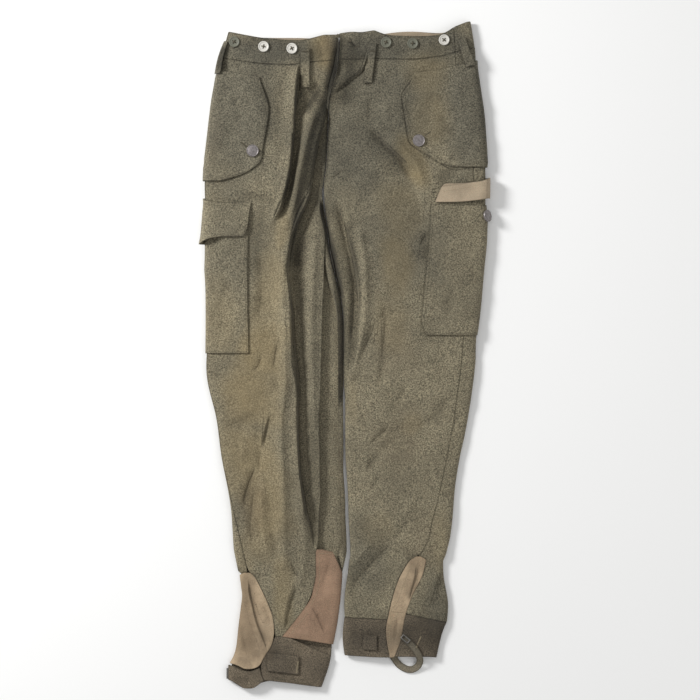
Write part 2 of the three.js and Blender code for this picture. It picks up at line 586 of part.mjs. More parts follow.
// A piece that lies on the tube between two heights, from one distance round it to another, moved out by
// lift. Shift is how much further up (+) its columns lie from the start to the end of a row.
const PATCH_STEP = 26;     // widest column of a piece that lies on a panel
const ROW_MARGIN = 6;      // how far a panel's row keeps from the ends of such a piece
function patch(side, { bottom, top, from, to, lift, thick, shift = () => 0, rowsIn = [] }) {
  const between = ROWS[side].filter((y) => y > bottom + ROW_MARGIN && y < top - ROW_MARGIN);
  const rows = ordered([bottom, ...rowsIn, top, ...between]);
  const counts = { under: 0, over: 0 };
  for (const y of rows) {
    counts.under = Math.max(counts.under, Math.ceil((-ROLL_LENGTH - from(y)) / PATCH_STEP));
    counts.over = Math.max(counts.over, Math.ceil((to(y) - Math.max(from(y), ROLL_LENGTH)) / PATCH_STEP));
  }
  const outer = [];
  const inner = [];
  for (const y of rows) {
    const start = from(y);
    const end = to(y);
    const wraps = start < -ROLL_LENGTH;
    const columns = wraps
      ? [...steps(start, -ROLL_LENGTH, counts.under).slice(0, counts.under), ...ROLL_COLUMNS,
        ...steps(ROLL_LENGTH, end, counts.over).slice(1)]
      : start < ROLL_LENGTH - 1
        ? [start, ...ROLL_COLUMNS.filter((c) => c > start + 1),
          ...steps(ROLL_LENGTH, end, counts.over).slice(1)]
        : steps(start, end, counts.over);
    const points = columns.map((c, i) => {
      const share = i / (columns.length - 1);
      const here = y + shift(share, y);
      const normal = tubeNormal(side, c, here);
      return [facetPoint(side, c, here).addScaledVector(normal, lift(here, share, c)), normal];
    });
    outer.push(points.map(([point]) => new THREE.Vector3(point.x, point.y, Math.max(0, point.z))));
    inner.push(points.map(([point, normal]) => point.clone().addScaledVector(normal, -thick)));
  }
  return wallOf(outer, inner);
}
const frontEdge = (side, layer) => (y) =>
  fromX(side, y, along(layer.front, clamp(y, layer.bottom, layer.top)));

// Cargo pockets and their flaps. The right leg's flap hangs over its pocket. The left leg's flap is turned
// up, so its lining shows.
for (const side of ["right", "left"]) {
  const pocket = POCKET[side];
  add(`cargo_pocket_${side}`, patch(side, { ...pocket, from: () => -pocket.under, to: frontEdge(side, pocket),
    lift: () => ON_PANEL, thick: WOOL }), "wool");
}
const overPocket = (side, y) => ON_PANEL * (1 - smooth(POCKET[side].top + 5, POCKET[side].top + 17, y));
// How far a flap's outer corner stands away: over the pocket, and where the other flap is turned up
const FLARE = {
  right: { reach: 10, middle: 8, spread: 13 },
  left: { reach: 6, middle: 7, spread: 11 },
};
const flare = (side, c) =>
  FLARE[side].reach * Math.exp(-(((c - FLARE[side].middle) / FLARE[side].spread) ** 2));
add("cargo_flap_right", patch("right", { ...CARGO_FLAP.right, rowsIn: [228, 243],
  from: () => -CARGO_FLAP.right.under, to: frontEdge("right", CARGO_FLAP.right),
  lift: (y, share, c) => FLAP_LIFT + overPocket("right", y) + flare("right", c) * (1 - smooth(184, 214, y)),
  thick: LINED,
  shift: (share, y) => lerp(lerp(-CARGO_FLAP.right.dip, CARGO_FLAP.right.rise, smooth(200, 245, y)), 0,
    smooth(0.45, 0.8, share)) }), "wool");
const EASE = 0.5;          // how much looser the turned-up flap lies
const turnedUp = { ...CARGO_FLAP.left, from: () => -CARGO_FLAP.left.under,
  to: frontEdge("left", CARGO_FLAP.left),
  shift: (share) => lerp(CARGO_FLAP.left.rise - 2, 0, smooth(0.4, 0.9, share)) };
const turnedLift = (c) => EASE + FLAP_LIFT + flare("left", c);
add("cargo_flap_left", patch("left", { ...turnedUp, lift: (y, share, c) => turnedLift(c) - FLAP_LINING - SEAM,
  thick: LINED - FLAP_LINING - SEAM }), "wool");
add("cargo_flap_left_lining", patch("left", { ...turnedUp, lift: (y, share, c) => turnedLift(c),
  thick: FLAP_LINING }), "lining");

// Hip pocket flaps, which reach round the outer edge. Below FLAP_TURN their front edge turns outwards.
const FLAP_TURN = 345;
for (const side of ["right", "left"]) {
  const flap = HIP_FLAP[side];
  const rowsIn = flap.front.slice(1, -1).map(([y]) => y).filter((y) => y < FLAP_TURN);
  add(`hip_flap_${side}`, patch(side, { ...flap, from: () => -flap.under, to: frontEdge(side, flap),
    lift: () => FLAP_LIFT, thick: LINED, rowsIn }), "wool");
}

// Gussets let into the slits at the ankles
function gusset(side, rows, edgesAt) {
  return piece(side, rows, (y) => {
    const [start, end] = edgesAt(y);
    const rolls = ROLL_COLUMNS.filter((c) => c > start + 2 && c < end - 2);
    return rolls.length === 2 * ROLL_STEPS + 1
      ? [start, ...rolls, lerp(ROLL_LENGTH, end, 0.5), end]
      : steps(start, end, 2 * ROLL_STEPS + 3);
  }, GUSSET);
}
const outerGusset = (side) => (y) => [
  fromInset(side, y, along(LEG[side].backOuter, y)) + SEAM / 2,
  fromInset(side, y, along(LEG[side].frontOuter, y)) - SEAM / 2,
];
const innerGusset = (y) => [
  fromInnerInset("right", y, along(LEG.right.frontInner, y)) + SEAM / 2,
  fromInnerInset("right", y, along(LEG.right.backInner, y)) - SEAM / 2,
];
const GUSSET_HEM = -490;
const GUSSET_TIP = { right: -341.5, left: -315.5, inner: -304 };
// The panels' straight edges meet at the point of a slit, so the last row of a gusset is read between rows.
function tipped(side, tip, edgesAt) {
  const above = ROWS[side].find((y) => y > tip);
  const below = ROWS[side].filter((y) => y < tip).pop();
  const share = (tip - below) / (above - below);
  return (y) => (y === tip
    ? edgesAt(below).map((edge, i) => lerp(edge, edgesAt(above)[i], share))
    : edgesAt(y));
}
const legRowsTo = (side, tip) => [...ROWS[side].filter((y) => y > HEM[side] + 1 && y < tip), tip];
add("gusset_outer_right", gusset("right", [GUSSET_HEM, -480, -466, HEM.right,
  ...legRowsTo("right", GUSSET_TIP.right)],
  tipped("right", GUSSET_TIP.right, outerGusset("right"))), "cotton_tan");
add("gusset_outer_left", gusset("left", [...CUFF_ROWS.left, HEM.left,
  ...legRowsTo("left", GUSSET_TIP.left)],
  tipped("left", GUSSET_TIP.left, outerGusset("left"))), "cotton_tan");
const innerRows = [ROWS.right[0], ...legRowsTo("right", GUSSET_TIP.inner)];
add("gusset_inner_right", piece("right", innerRows, (y) => {
  const s = section("right", y);
  const [start, end] = tipped("right", GUSSET_TIP.inner, innerGusset)(y);
  const edge = clamp(s.length - s.innerLength, start, end);
  return [start, lerp(start, edge, 0.5), edge, lerp(edge, end, 0.35), lerp(edge, end, 0.7), end];
}, GUSSET), "cotton_pink");

// The strap end over the outer side of the right ankle, the tab on its cuff, and the left cuff's keeper
const STRAP_ROWS = [-515, -503, GUSSET_HEM - 3];
const strapEnd = (y) => fromInset("right", y, along(LEG.right.frontOuter, y)) - SEAM / 2;
add("ankle_strap_right", piece("right", STRAP_ROWS, (y) => [-8 + SEAM / 2, ...ROLL_COLUMNS.slice(1),
  ...steps(ROLL_LENGTH, strapEnd(y), 3).slice(1)], LINED), "wool_band");
const boxPatch = (side, { bottom, top, left, right, lean = 0, lift, thick, bulge = 0 }) => {
  const columns = (y) => [left, right].map((x) => fromX(side, y, x + lean * (y - bottom) / (top - bottom)))
    .sort((a, b) => a - b);
  const rows = steps(bottom, top, Math.max(2, Math.round((top - bottom) / 12)));
  return piece(side, rows, (y) => steps(...columns(y), 2), thick,
    (y) => (typeof lift === "function" ? lift(y) : lift)
      + bulge * Math.sin(Math.PI * clamp((y - bottom) / (top - bottom), 0, 1)));
};
add("cuff_tab_right", boxPatch("right", { bottom: -500, top: -472, left: -127, right: -76,
  lift: REST + LINED, thick: LINED }), "wool_band");
add("keeper_left", boxPatch("left", { bottom: -463, top: -439, left: 26, right: 49,
  lift: REST + WOOL, thick: WOOL }), "wool_band");

// Belt loops: two at the front and one over each side. Each bridges the waist seam, in mm.
const LOOP = 1.8;
const overFlap = (y) => FLAP_LIFT * (1 - smooth(455, 474, y));
add("belt_loop_front_right", boxPatch("right", { bottom: 432, top: 496, left: -73.5, right: -58.5,
  lift: 1.3 + LOOP, thick: LOOP, bulge: 1.6 }), "wool");
add("belt_loop_front_left", boxPatch("left", { bottom: 434, top: 494, left: 27, right: 41, lean: 7.5,
  lift: 1.0 + LOOP, thick: LOOP, bulge: 1.6 }), "wool");
add("belt_loop_side_left", boxPatch("left", { bottom: 444, top: 490, left: 190, right: 204, lean: -14,
  lift: (y) => overFlap(y) + 1.0 + LOOP, thick: LOOP, bulge: 1.2 }), "wool");
add("belt_loop_side_right", piece("right", steps(446, 498, 4), () => [-2, 4, 10], LOOP,
  (y) => overFlap(y) + 1.9 + LOOP + 2.4 * Math.sin(Math.PI * (y - 446) / 52)), "wool");

// Lining inside the back of the waistband
for (const side of ["right", "left"]) {
  add(`band_lining_${side}`, piece(side, steps(WAIST_SEAM + 2, WAIST_TOP - 0.5, 3), (y) => {
    const s = section(side, y);
    return steps(-s.length + 1.5, -ROLL_LENGTH - 2, 6);
  }, LINING, () => -BAND - SEAM), "lining");
}

// A disc turned from a profile of [radius, height] rows, from the bottom's middle to the top's middle
function turned(profile, sides) {
  const positions = [0, 0, profile[0][1]];
  const rings = profile.slice(1, -1);
  for (const [radius, z] of rings) {
    for (let i = 0; i < sides; i += 1) {
      const a = (2 * Math.PI * i) / sides;
      positions.push(radius * Math.cos(a), radius * Math.sin(a), z);
    }
  }
  positions.push(0, 0, profile[profile.length - 1][1]);
  const at = (ring, i) => 1 + ring * sides + (i % sides);
  const end = 1 + rings.length * sides;
  const index = [];
  for (let i = 0; i < sides; i += 1) {
    index.push(0, at(0, i + 1), at(0, i));
    for (let r = 0; r < rings.length - 1; r += 1) {
      index.push(at(r, i), at(r, i + 1), at(r + 1, i + 1), at(r, i), at(r + 1, i + 1), at(r + 1, i));
    }
    index.push(at(rings.length - 1, i), at(rings.length - 1, i + 1), end);
  }
  const geometry = new THREE.BufferGeometry();
  geometry.setAttribute("position", new THREE.Float32BufferAttribute(positions, 3));
  geometry.setIndex(facesOut(positions, index));
  geometry.computeVertexNormals();
  return geometry;
}

// Four-hole brace buttons
const BUTTON = { radius: 8.5, thick: 2.4, hole: 1.1, spread: 1.9 };
function fourHole() {
  const disc = new THREE.Shape();
  disc.absarc(0, 0, BUTTON.radius, 0, 2 * Math.PI);
  for (const [x, y] of [[1, 1], [-1, 1], [-1, -1], [1, -1]]) {
    const hole = new THREE.Path();
    hole.absarc(x * BUTTON.spread, y * BUTTON.spread, BUTTON.hole, 0, 2 * Math.PI, true);
    disc.holes.push(hole);
  }
  return new THREE.ExtrudeGeometry(disc, { depth: BUTTON.thick, bevelEnabled: false, curveSegments: 9 });
}

// Sets a flat part on the tube at an X and a height, its own +Z outwards
function seat(mesh, side, c, y, lift) {
  const normal = tubeNormal(side, c, y);
  mesh.position.copy(tubePoint(side, c, y)).addScaledVector(normal, lift);
  mesh.quaternion.setFromUnitVectors(new THREE.Vector3(0, 0, 1), normal);
}
const WAIST_BUTTONS = [
  { name: "button_waist_1", side: "right", x: -179.2, y: 499, finish: "button_green" },
  { name: "button_waist_2", side: "right", x: -132.3, y: 500, finish: "button_white" },
  { name: "button_waist_3", side: "right", x: -87.2, y: 499, finish: "button_white" },
  { name: "button_waist_4", side: "left", x: 63.2, y: 501, finish: "button_green" },
  { name: "button_waist_5", side: "left", x: 105.6, y: 500, finish: "button_green" },
  { name: "button_waist_6", side: "left", x: 155.7, y: 502, finish: "button_white" },
];
const SHANK = 0.5;         // space of thread under a waist button
for (const { name, side, x, y, finish } of WAIST_BUTTONS) {
  seat(add(name, fourHole(), finish), side, fromX(side, y, x), y, SHANK);
}
// Dished metal buttons, each at a distance round its section
const METAL_BUTTON = [[0, 0], [8.6, 0], [9.6, 0.8], [9.6, 1.8], [8.6, 2.6], [7.4, 2.2], [4.5, 1.4], [0, 1.2]];
const METAL_SIDES = 20;
const METAL_BUTTONS = [
  { name: "button_hip_right", side: "right", c: fromX("right", 332, -149.6), y: 332, lift: FLAP_LIFT + 0.8 },
  { name: "button_hip_left", side: "left", c: fromX("left", 347, 115.2), y: 347, lift: FLAP_LIFT + 0.8 },
  { name: "button_cargo_left", side: "left", c: 3.5, y: 228, lift: ON_PANEL + 0.3 },
];
for (const { name, side, c, y, lift } of METAL_BUTTONS) {
  seat(add(name, turned(METAL_BUTTON, METAL_SIDES), "button_metal"), side, c, y, lift);
}

// Ribbon of an even width along a line of points, flat side up
function ribbon(path, width, thick, count) {
  const curve = new THREE.CatmullRomCurve3(path.map((p) => new THREE.Vector3(...p)), false, "centripetal");
  const points = curve.getSpacedPoints(count);
  const rows = points.map((point, i) => {
    const ahead = points[Math.min(i + 1, count)].clone().sub(points[Math.max(i - 1, 0)]);
    const across = new THREE.Vector3(-ahead.y, ahead.x, 0).normalize().multiplyScalar(width / 2);
    return [point.clone().sub(across), point.clone().add(across)];
  });
  return wallOf(rows, rows.map((row) => row.map((p) => new THREE.Vector3(p.x, p.y, p.z - thick))));
}
const STRAP_LOOP = [
  [91, -443, 14], [101.5, -454, 14], [112, -467, 14.4], [117.5, -480, 10.5], [114, -492, 4], [103, -498, 1.9],
  [90, -494, 1.9], [80, -486, 2.2], [74, -481, 2.6],
];
const STRAP = { width: 8, thick: 1.6, spans: 22 };
add("strap_loop_left", ribbon(STRAP_LOOP, STRAP.width, STRAP.thick, STRAP.spans), "wool_band");

// The bar at the end of the right strap and the slide on the left loop
const BAR = { wide: 3, long: 17, high: 2.4 };
const bar = new THREE.BoxGeometry(BAR.wide, BAR.long, BAR.high).translate(-192, -503, 5.2);
add("strap_bar_right", bar, "steel");
const SLIDE = { wide: 15, long: 8, bar: 1.8, thick: 1.4 };
const frame = new THREE.Shape([[-1, -1], [1, -1], [1, 1], [-1, 1]]
  .map(([x, y]) => new THREE.Vector2(x * SLIDE.wide / 2, y * SLIDE.long / 2)));
frame.holes.push(new THREE.Path([[-1, -1], [-1, 1], [1, 1], [1, -1]]
  .map(([x, y]) => new THREE.Vector2(x * (SLIDE.wide / 2 - SLIDE.bar), y * (SLIDE.long / 2 - SLIDE.bar)))));
const plate = new THREE.ExtrudeGeometry(frame, { depth: SLIDE.thick, bevelEnabled: false });
const slide = add("strap_slide_left", plate, "steel");
slide.position.set(94, -446.5, 14.5);
slide.rotation.z = -0.7;

// The origin goes under the middle of the whole.
const MIDDLE_Y = 6.4;
for (const mesh of model.children) mesh.position.y -= MIDDLE_Y;

export default model;
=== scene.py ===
# %% [markdown]
# Military field trousers of thick wool, laid flat on their back and seen from straight above.
# The CAD frame holds every sewn piece as a thin wall of true size. This file gives each piece the finer
# form, creases, cloth and stitching of the real garment. One table of creases is used for all pieces, so
# pieces that lie on each other move together and never cross.

# %% Load the frame
import math

import bmesh
import bpy
import numpy as np
from mathutils import Matrix, Vector
from mathutils.bvhtree import BVHTree
from mathutils.kdtree import KDTree


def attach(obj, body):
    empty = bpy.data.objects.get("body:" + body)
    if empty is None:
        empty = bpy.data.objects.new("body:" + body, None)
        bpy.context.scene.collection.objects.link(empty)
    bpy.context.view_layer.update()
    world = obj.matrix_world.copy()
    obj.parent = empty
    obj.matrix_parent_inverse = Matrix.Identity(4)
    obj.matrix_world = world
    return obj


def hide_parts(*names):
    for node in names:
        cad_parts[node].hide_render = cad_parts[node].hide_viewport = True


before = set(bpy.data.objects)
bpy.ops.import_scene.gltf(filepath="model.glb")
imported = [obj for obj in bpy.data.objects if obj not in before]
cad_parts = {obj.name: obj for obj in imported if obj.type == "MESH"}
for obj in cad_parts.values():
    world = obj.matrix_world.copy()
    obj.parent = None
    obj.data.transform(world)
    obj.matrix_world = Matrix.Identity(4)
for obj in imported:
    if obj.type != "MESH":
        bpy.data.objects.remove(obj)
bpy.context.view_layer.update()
MM = 0.001
BODY = "root"

# %% [markdown]
# Places are read off the photo. One photo pixel is 1.6 mm, as the 17 mm buttons show, and the photo's
# pixel (346.5, 355) lies over the frame's origin. Creases keep their places in pixels, in a column of
# that name, and their depths and widths in real millimetres.

# %% Photo scale
PIXEL_MM = 1.6
ORIGIN_PIXEL = (346.5, 355.0)


def from_photo(px):
    """Frame coordinates in millimetres of a place in the photo, in pixels."""
    px = np.asarray(px, dtype=float)
    return (px - ORIGIN_PIXEL) * (PIXEL_MM, -PIXEL_MM)


def smooth(a, b, t):
    """0 below a, 1 above b and an even S between them."""
    s = np.clip((t - a) / (b - a), 0, 1)
    return s * s * (3 - 2 * s)


print("one photo pixel is", PIXEL_MM, "mm")

# %% [markdown]
# Real thick wool creases in a few ways: a trough pressed into the nap, a soft ridge, and a fold that
# stands on one side and drops on the other. Each row below is one crease drawn from the waist down. West
# and east are (height, reach) in mm beside the line on its left and right in the photo. A cloth
# simulation would give folds, but not these ones, so they are listed one by one.

# %% The creases
def trough(depth, reach):
    return (-depth, reach), (-depth, reach)


def ridge(height, reach):
    return (height, reach), (height, reach)


CREASES = [
    # name, west and east, photo_px
    ("pleat edge", (5.0, 9), (-3.5, 12), [(299, 65), (296, 90), (295, 112), (294, 135), (291, 168),
        (286, 190), (280, 211), (273, 222)]),
    ("pleat drop", *trough(3.0, 9), [(303, 115), (300, 140), (295, 165), (290, 188), (283, 208)]),
    ("fly slant", *trough(4.5, 9), [(322, 78), (312, 92), (304, 106), (298, 122)]),
    ("fly ridge", *ridge(6.0, 8), [(318, 108), (311, 128), (305, 150), (300, 175), (296, 200), (290, 222)]),
    ("valley", (5.5, 10), (-5.0, 11), [(326.5, 106), (325, 120), (319, 140), (315, 160), (312, 185),
        (308, 200), (300, 218), (296, 235), (293, 252), (291, 285), (291, 315), (293, 350), (297, 385),
        (298, 420), (299, 458), (302, 490), (306, 520)]),
    ("valley floor", *trough(3.0, 14), [(318, 150), (314, 190), (303, 230), (300, 265), (300, 310),
        (302, 360), (305, 410), (306, 460), (309, 505)]),
    ("valley bank", *ridge(5.0, 9), [(315, 235), (313, 280), (312, 330), (313, 380), (315, 430)]),
    ("shin crest", *ridge(4.5, 9), [(284, 250), (284, 300), (286, 350), (285, 392), (282, 417),
        (282, 450), (284, 492), (284, 540), (286, 572)]),
    ("crotch slit", (1.5, 6), (-5.0, 7), [(320, 196), (322, 212), (326, 230), (331, 250), (337, 280),
        (341, 306)]),
    ("crotch tuck", *trough(1.6, 4), [(343, 173), (337, 176), (330, 180)]),
    ("fly lap", (-2.0, 12), (2.6, 12), [(338.7, 33), (338.6, 45), (338, 60), (335.5, 75), (332.5, 86),
        (328.5, 97), (327, 110)]),
    ("fly crease", (2.0, 8), (-3.0, 5), [(368, 52), (366, 62), (362, 71), (351, 80), (341, 88), (331, 96)]),
    ("fly tuck", *trough(2.0, 3.5), [(347, 44), (351, 41), (355, 47), (360, 46)]),
    ("fly hollow", *trough(2.5, 7), [(341, 62), (340, 72), (337, 82)]),
    ("hip slant", *trough(3.0, 8), [(368, 128), (376, 137), (386, 147), (397, 157), (406, 170),
        (412, 184)]),
    ("hip slant bank", *ridge(2.5, 8), [(388, 132), (398, 144), (410, 156), (420, 172), (424, 192)]),
    ("pocket tuck", *trough(1.8, 4), [(429, 232), (424, 240), (420, 247)]),
    ("hip soft 1", *trough(1.5, 9), [(372, 92), (370, 110), (368, 126)]),
    ("hip soft 2", *ridge(1.5, 9), [(385, 92), (386, 112), (390, 128)]),
    ("hip soft 3", *trough(1.4, 8), [(437, 110), (446, 126), (458, 142)]),
    ("flap soft 1", *trough(1.0, 7), [(232, 92), (238, 112), (236, 132)]),
    ("flap soft 2", *ridge(1.0, 8), [(218, 100), (222, 130), (216, 155)]),
    ("thigh inner 1", *trough(3.5, 9), [(336, 200), (341, 222), (347, 245), (352, 265), (355, 290),
        (354, 318), (351, 345)]),
    ("thigh inner roll", *ridge(4.6, 9), [(358, 222), (363, 250), (366, 285), (365, 315), (360, 345),
        (354, 368), (349, 386)]),
    ("thigh inner 2", *trough(2.4, 5), [(375, 316), (371, 330), (364, 350), (357, 366)]),
    ("thigh inner 3", (1.2, 6), (-2.4, 8), [(380, 303), (383, 320), (382, 345), (380, 367), (375, 392)]),
    ("thigh mid 1", *trough(1.8, 6), [(408, 380), (403, 393), (396, 405), (387, 418)]),
    ("knee tuck", *trough(2.2, 4), [(392, 424), (386, 430), (379, 436), (368, 447)]),
    ("knee soft", *trough(1.7, 7), [(397, 434), (383, 449), (372, 463), (365, 474)]),
    ("knee soft 2", *trough(1.5, 8), [(450, 396), (439, 411), (424, 424), (412, 432)]),
    ("knee soft 3", *trough(1.5, 6), [(381, 471), (375, 483), (370, 496)]),
    ("knee soft 4", *ridge(1.3, 6), [(366, 452), (365, 470), (362, 490)]),
    ("inner soft", *trough(1.3, 6), [(357, 400), (362, 412), (365, 428)]),
    ("pocket soft", *trough(1.3, 7), [(454, 286), (449, 302), (446, 330)]),
    ("pocket soft 2", *trough(1.3, 6), [(231, 276), (226, 292), (219, 308)]),
    ("pocket soft 3", *ridge(1.0, 9), [(214, 262), (222, 290), (236, 322)]),
    ("thigh left 1", *trough(2.0, 4), [(262, 355), (260, 364), (252, 373)]),
    ("thigh left 2", *trough(1.9, 5), [(282, 330), (277, 350), (273, 374)]),
    ("thigh left 3", *trough(1.4, 6), [(271, 378), (277, 390), (282, 402)]),
    ("thigh left 4", *trough(1.6, 9), [(259, 250), (262, 275), (261, 300), (258, 322)]),
    ("knee left 1", (1.6, 6), (-2.6, 7), [(271, 411), (267, 424), (264, 436), (263, 450)]),
    ("knee left 2", *trough(2.4, 6), [(257, 463), (251, 478), (246, 497), (245, 512)]),
    ("knee left 3", *trough(1.8, 4), [(262, 450), (259, 462), (261, 472)]),
    ("knee left 4", *trough(1.6, 7), [(222, 428), (236, 423), (248, 418), (258, 411)]),
    ("knee left 5", *ridge(1.6, 6), [(243, 430), (244, 448), (241, 466)]),
    ("shin left 1", *trough(1.9, 6), [(255, 490), (252, 508), (250, 528), (254, 545)]),
    ("shin left 2", *trough(1.7, 7), [(268, 486), (269, 510), (272, 535), (278, 560)]),
    ("shin left 3", *ridge(1.5, 6), [(261, 478), (262, 505), (264, 535), (270, 560)]),
    ("shin tuck", *trough(2.2, 4), [(290, 560), (294, 569), (299, 579)]),
    ("ankle valley", (1.8, 7), (-2.6, 9), [(297, 580), (292, 594), (287, 610), (284, 632)]),
    ("shin valley 1", *trough(2.6, 10), [(307, 492), (312, 510), (316, 530), (317, 546)]),
    ("shin valley 2", *trough(1.6, 6), [(323, 505), (326, 523), (330, 540)]),
    ("shin bank", *ridge(2.0, 7), [(299, 500), (303, 522), (306, 545), (303, 570), (298, 594)]),
    ("streak", *ridge(1.5, 4), [(303, 422), (307, 429), (311, 437)]),
    ("shin slant right", *trough(2.0, 9), [(394, 541), (382, 553), (369, 567), (358, 580), (349, 592)]),
    ("shin slant bank", *ridge(1.8, 8), [(378, 536), (366, 548), (357, 560), (352, 572)]),
    ("shin slant soft", *trough(1.7, 8), [(412, 513), (402, 530), (391, 546)]),
    ("shin soft right", *ridge(1.3, 8), [(420, 480), (410, 505), (398, 525)]),
    ("heel bulge", (2.2, 7), (-3.0, 7), [(442, 567), (438, 580), (434, 594), (429, 606)]),
    ("heel soft", *trough(1.4, 5), [(420, 566), (417, 585), (409, 602)]),
    ("gusset fold 1", (1.0, 5), (-1.8, 4), [(248, 577), (250, 592), (254, 610), (259, 628), (266, 648)]),
    ("gusset fold 2", *trough(1.2, 4), [(262, 600), (267, 612), (272, 626)]),
    ("gusset fold 3", *trough(1.2, 4), [(241, 620), (244, 640), (248, 655)]),
    ("gusset fold 4", (1.2, 5), (-1.6, 4), [(309, 604), (315, 613), (321, 624), (325, 637)]),
    ("gusset fold 5", *trough(1.0, 4), [(331, 560), (326, 575), (322, 592)]),
    ("gusset left 1", *trough(1.2, 3), [(417, 561), (418, 572), (412, 590), (407, 606)]),
    ("gusset left 2", *trough(1.2, 4), [(398, 612), (396, 628), (393, 642)]),
    ("hip left tuck", *trough(1.4, 6), [(263, 178), (266, 190), (262, 204)]),
    ("hip left soft", *trough(1.3, 8), [(280, 80), (281, 104), (277, 130)]),
    ("hip left soft 2", *ridge(1.2, 8), [(271, 96), (274, 130), (274, 162)]),
    ("band dip 1", *trough(0.8, 8), [(252, 36), (253, 48), (251, 60)]),
    ("band dip 2", *ridge(0.8, 9), [(278, 40), (279, 52), (278, 64)]),
    ("band dip 3", *trough(1.0, 6), [(318, 38), (321, 50), (324, 64)]),
    ("band dip 4", *trough(0.8, 8), [(400, 40), (401, 52), (399, 60)]),
    ("band dip 5", *ridge(0.9, 9), [(430, 36), (431, 48), (433, 60)]),
]
FADE_MM = 22.0
CLIFF_MM = 1.5
DEPTH_GAIN = 1.25
REACHES = 2.6


def dense(path):
    """The line through the places of a crease, in mm, as short straights."""
    points = from_photo(path)
    out = []
    count = len(points)
    for i in range(count - 1):
        before = points[max(i - 1, 0)]
        after = points[min(i + 2, count - 1)]
        for t in (0.0, 0.34, 0.67):
            t2 = t * t
            t3 = t2 * t
            out.append(0.5 * (2 * points[i] + (points[i + 1] - before) * t
                              + (2 * before - 5 * points[i] + 4 * points[i + 1] - after) * t2
                              + (3 * points[i] - before - 3 * points[i + 1] + after) * t3))
    out.append(points[-1])
    return np.array(out)


def beside(line, reach, x, y):
    """Which places lie within reach of a line, their distance from it (+ to its left), and its life there:
    1 along most of the line, fading to 0 at both ends."""
    low = line.min(axis=0) - reach
    high = line.max(axis=0) + reach
    near = np.nonzero((x > low[0]) & (x < high[0]) & (y > low[1]) & (y < high[1]))[0]
    px = x[near]
    py = y[near]
    best = np.full(len(near), 1e9)
    side = np.zeros(len(near))
    run = np.zeros(len(near))
    length = 0.0
    for a, b in zip(line[:-1], line[1:]):
        step = b - a
        size = math.hypot(*step)
        t = np.clip(((px - a[0]) * step[0] + (py - a[1]) * step[1]) / size ** 2, 0, 1)
        dx = px - a[0] - step[0] * t
        dy = py - a[1] - step[1] * t
        far = np.hypot(dx, dy)
        closer = far < best
        best = np.where(closer, far, best)
        side = np.where(closer, np.sign(step[0] * dy - step[1] * dx), side)
        run = np.where(closer, length + size * t, run)
        length += size
    fade = min(FADE_MM, length / 3)
    life = smooth(0, fade, run) * smooth(0, fade, length - run)
    return near, side * best, life


def bell(d, reach):
    """A soft hill with a fairly sharp crest, 1 at the line."""
    return 0.5 * np.exp(-((d / reach) ** 2)) + 0.5 * np.exp(-np.abs(d) / (0.5 * reach))


LINES = [(west, east, dense(path)) for _, west, east, path in CREASES]


def crease_height(x, y):
    """Height in mm that all creases add at each place."""
    total = np.zeros_like(x)
    for west, east, line in LINES:
        near, d, life = beside(line, REACHES * max(west[1], east[1]), x, y)
        # The lines run down the photo, so their left-hand side is the photo's right.
        share = smooth(-CLIFF_MM, CLIFF_MM, d)
        total[near] += life * (west[0] * bell(d, west[1]) * (1 - share) + east[0] * bell(d, east[1]) * share)
    return DEPTH_GAIN * total


print("creases", len(CREASES))

# %% [markdown]
# Between the large creases the cloth is never quite flat. A few slow waves of uneven length give it the
# lie of thick wool that has been worn, at a height of about a millimetre.

# %% Slow waves and where creases act
WAVES = [
    # height_mm, length_mm, direction_deg, phase
    (0.45, 83, 12, 0.4), (0.40, 57, 68, 1.9), (0.32, 41, -35, 3.1), (0.24, 29, 101, 0.9),
    (0.18, 21, 44, 2.2),
]
BEND_MM = 6
DEEPEST_MM = -4.2
# Heights over the floor between which a piece begins to take the rises, and the hollows.
RISE_FROM_MM, RISE_FULL_MM = 3.0, 7.5
SINK_FROM_MM, SINK_FULL_MM = 4.5, 8.5


def lie_height(x, y):
    """Creases and slow waves together, in mm."""
    total = crease_height(x, y)
    for height, length, direction, phase in WAVES:
        a = math.radians(direction)
        bent = x * math.cos(a) + y * math.sin(a) + BEND_MM * np.sin(0.017 * y + 0.023 * x + phase)
        total += height * np.sin(2 * math.pi * bent / length + phase)
    return total


def lay_creases(co):
    """Moves points in mm up or down by the creases. The underside stays flat."""
    height = np.maximum(lie_height(co[:, 0], co[:, 1]), DEEPEST_MM)
    rise = np.maximum(0, height) * smooth(RISE_FROM_MM, RISE_FULL_MM, co[:, 2])
    sink = np.minimum(0, height) * smooth(SINK_FROM_MM, SINK_FULL_MM, co[:, 2])
    co[:, 2] += rise + sink
    return height


print("slow waves", len(WAVES))

# %% [markdown]
# Every cloth piece starts as a copy of its solid. The copy's triangles are merged and joined into quads,
# subdivision rounds it, and then the creases are laid in. Pieces with crisp corners, such as pockets and
# flaps, get one flat subdivision first, which keeps their corners.

# %% Cloth pieces from their solids
def select_only(obj):
    bpy.ops.object.select_all(action="DESELECT")
    obj.select_set(True)
    bpy.context.view_layer.objects.active = obj


def copy_of(node, name):
    """A merged copy of a CAD node as a new object, in quads where it can be."""
    mesh = bpy.data.objects[node].data.copy()
    mesh.name = name
    mesh.materials.clear()
    obj = bpy.data.objects.new(name, mesh)
    bpy.context.scene.collection.objects.link(obj)
    select_only(obj)
    bpy.ops.object.mode_set(mode="EDIT")
    bpy.ops.mesh.select_all(action="SELECT")
    bpy.ops.mesh.remove_doubles(threshold=0.00001)
    bpy.ops.mesh.tris_convert_to_quads(face_threshold=math.pi, shape_threshold=math.pi)
    bpy.ops.object.mode_set(mode="OBJECT")
    return obj


RIM_MM = 0.5
RIM_ANGLE = math.radians(68)


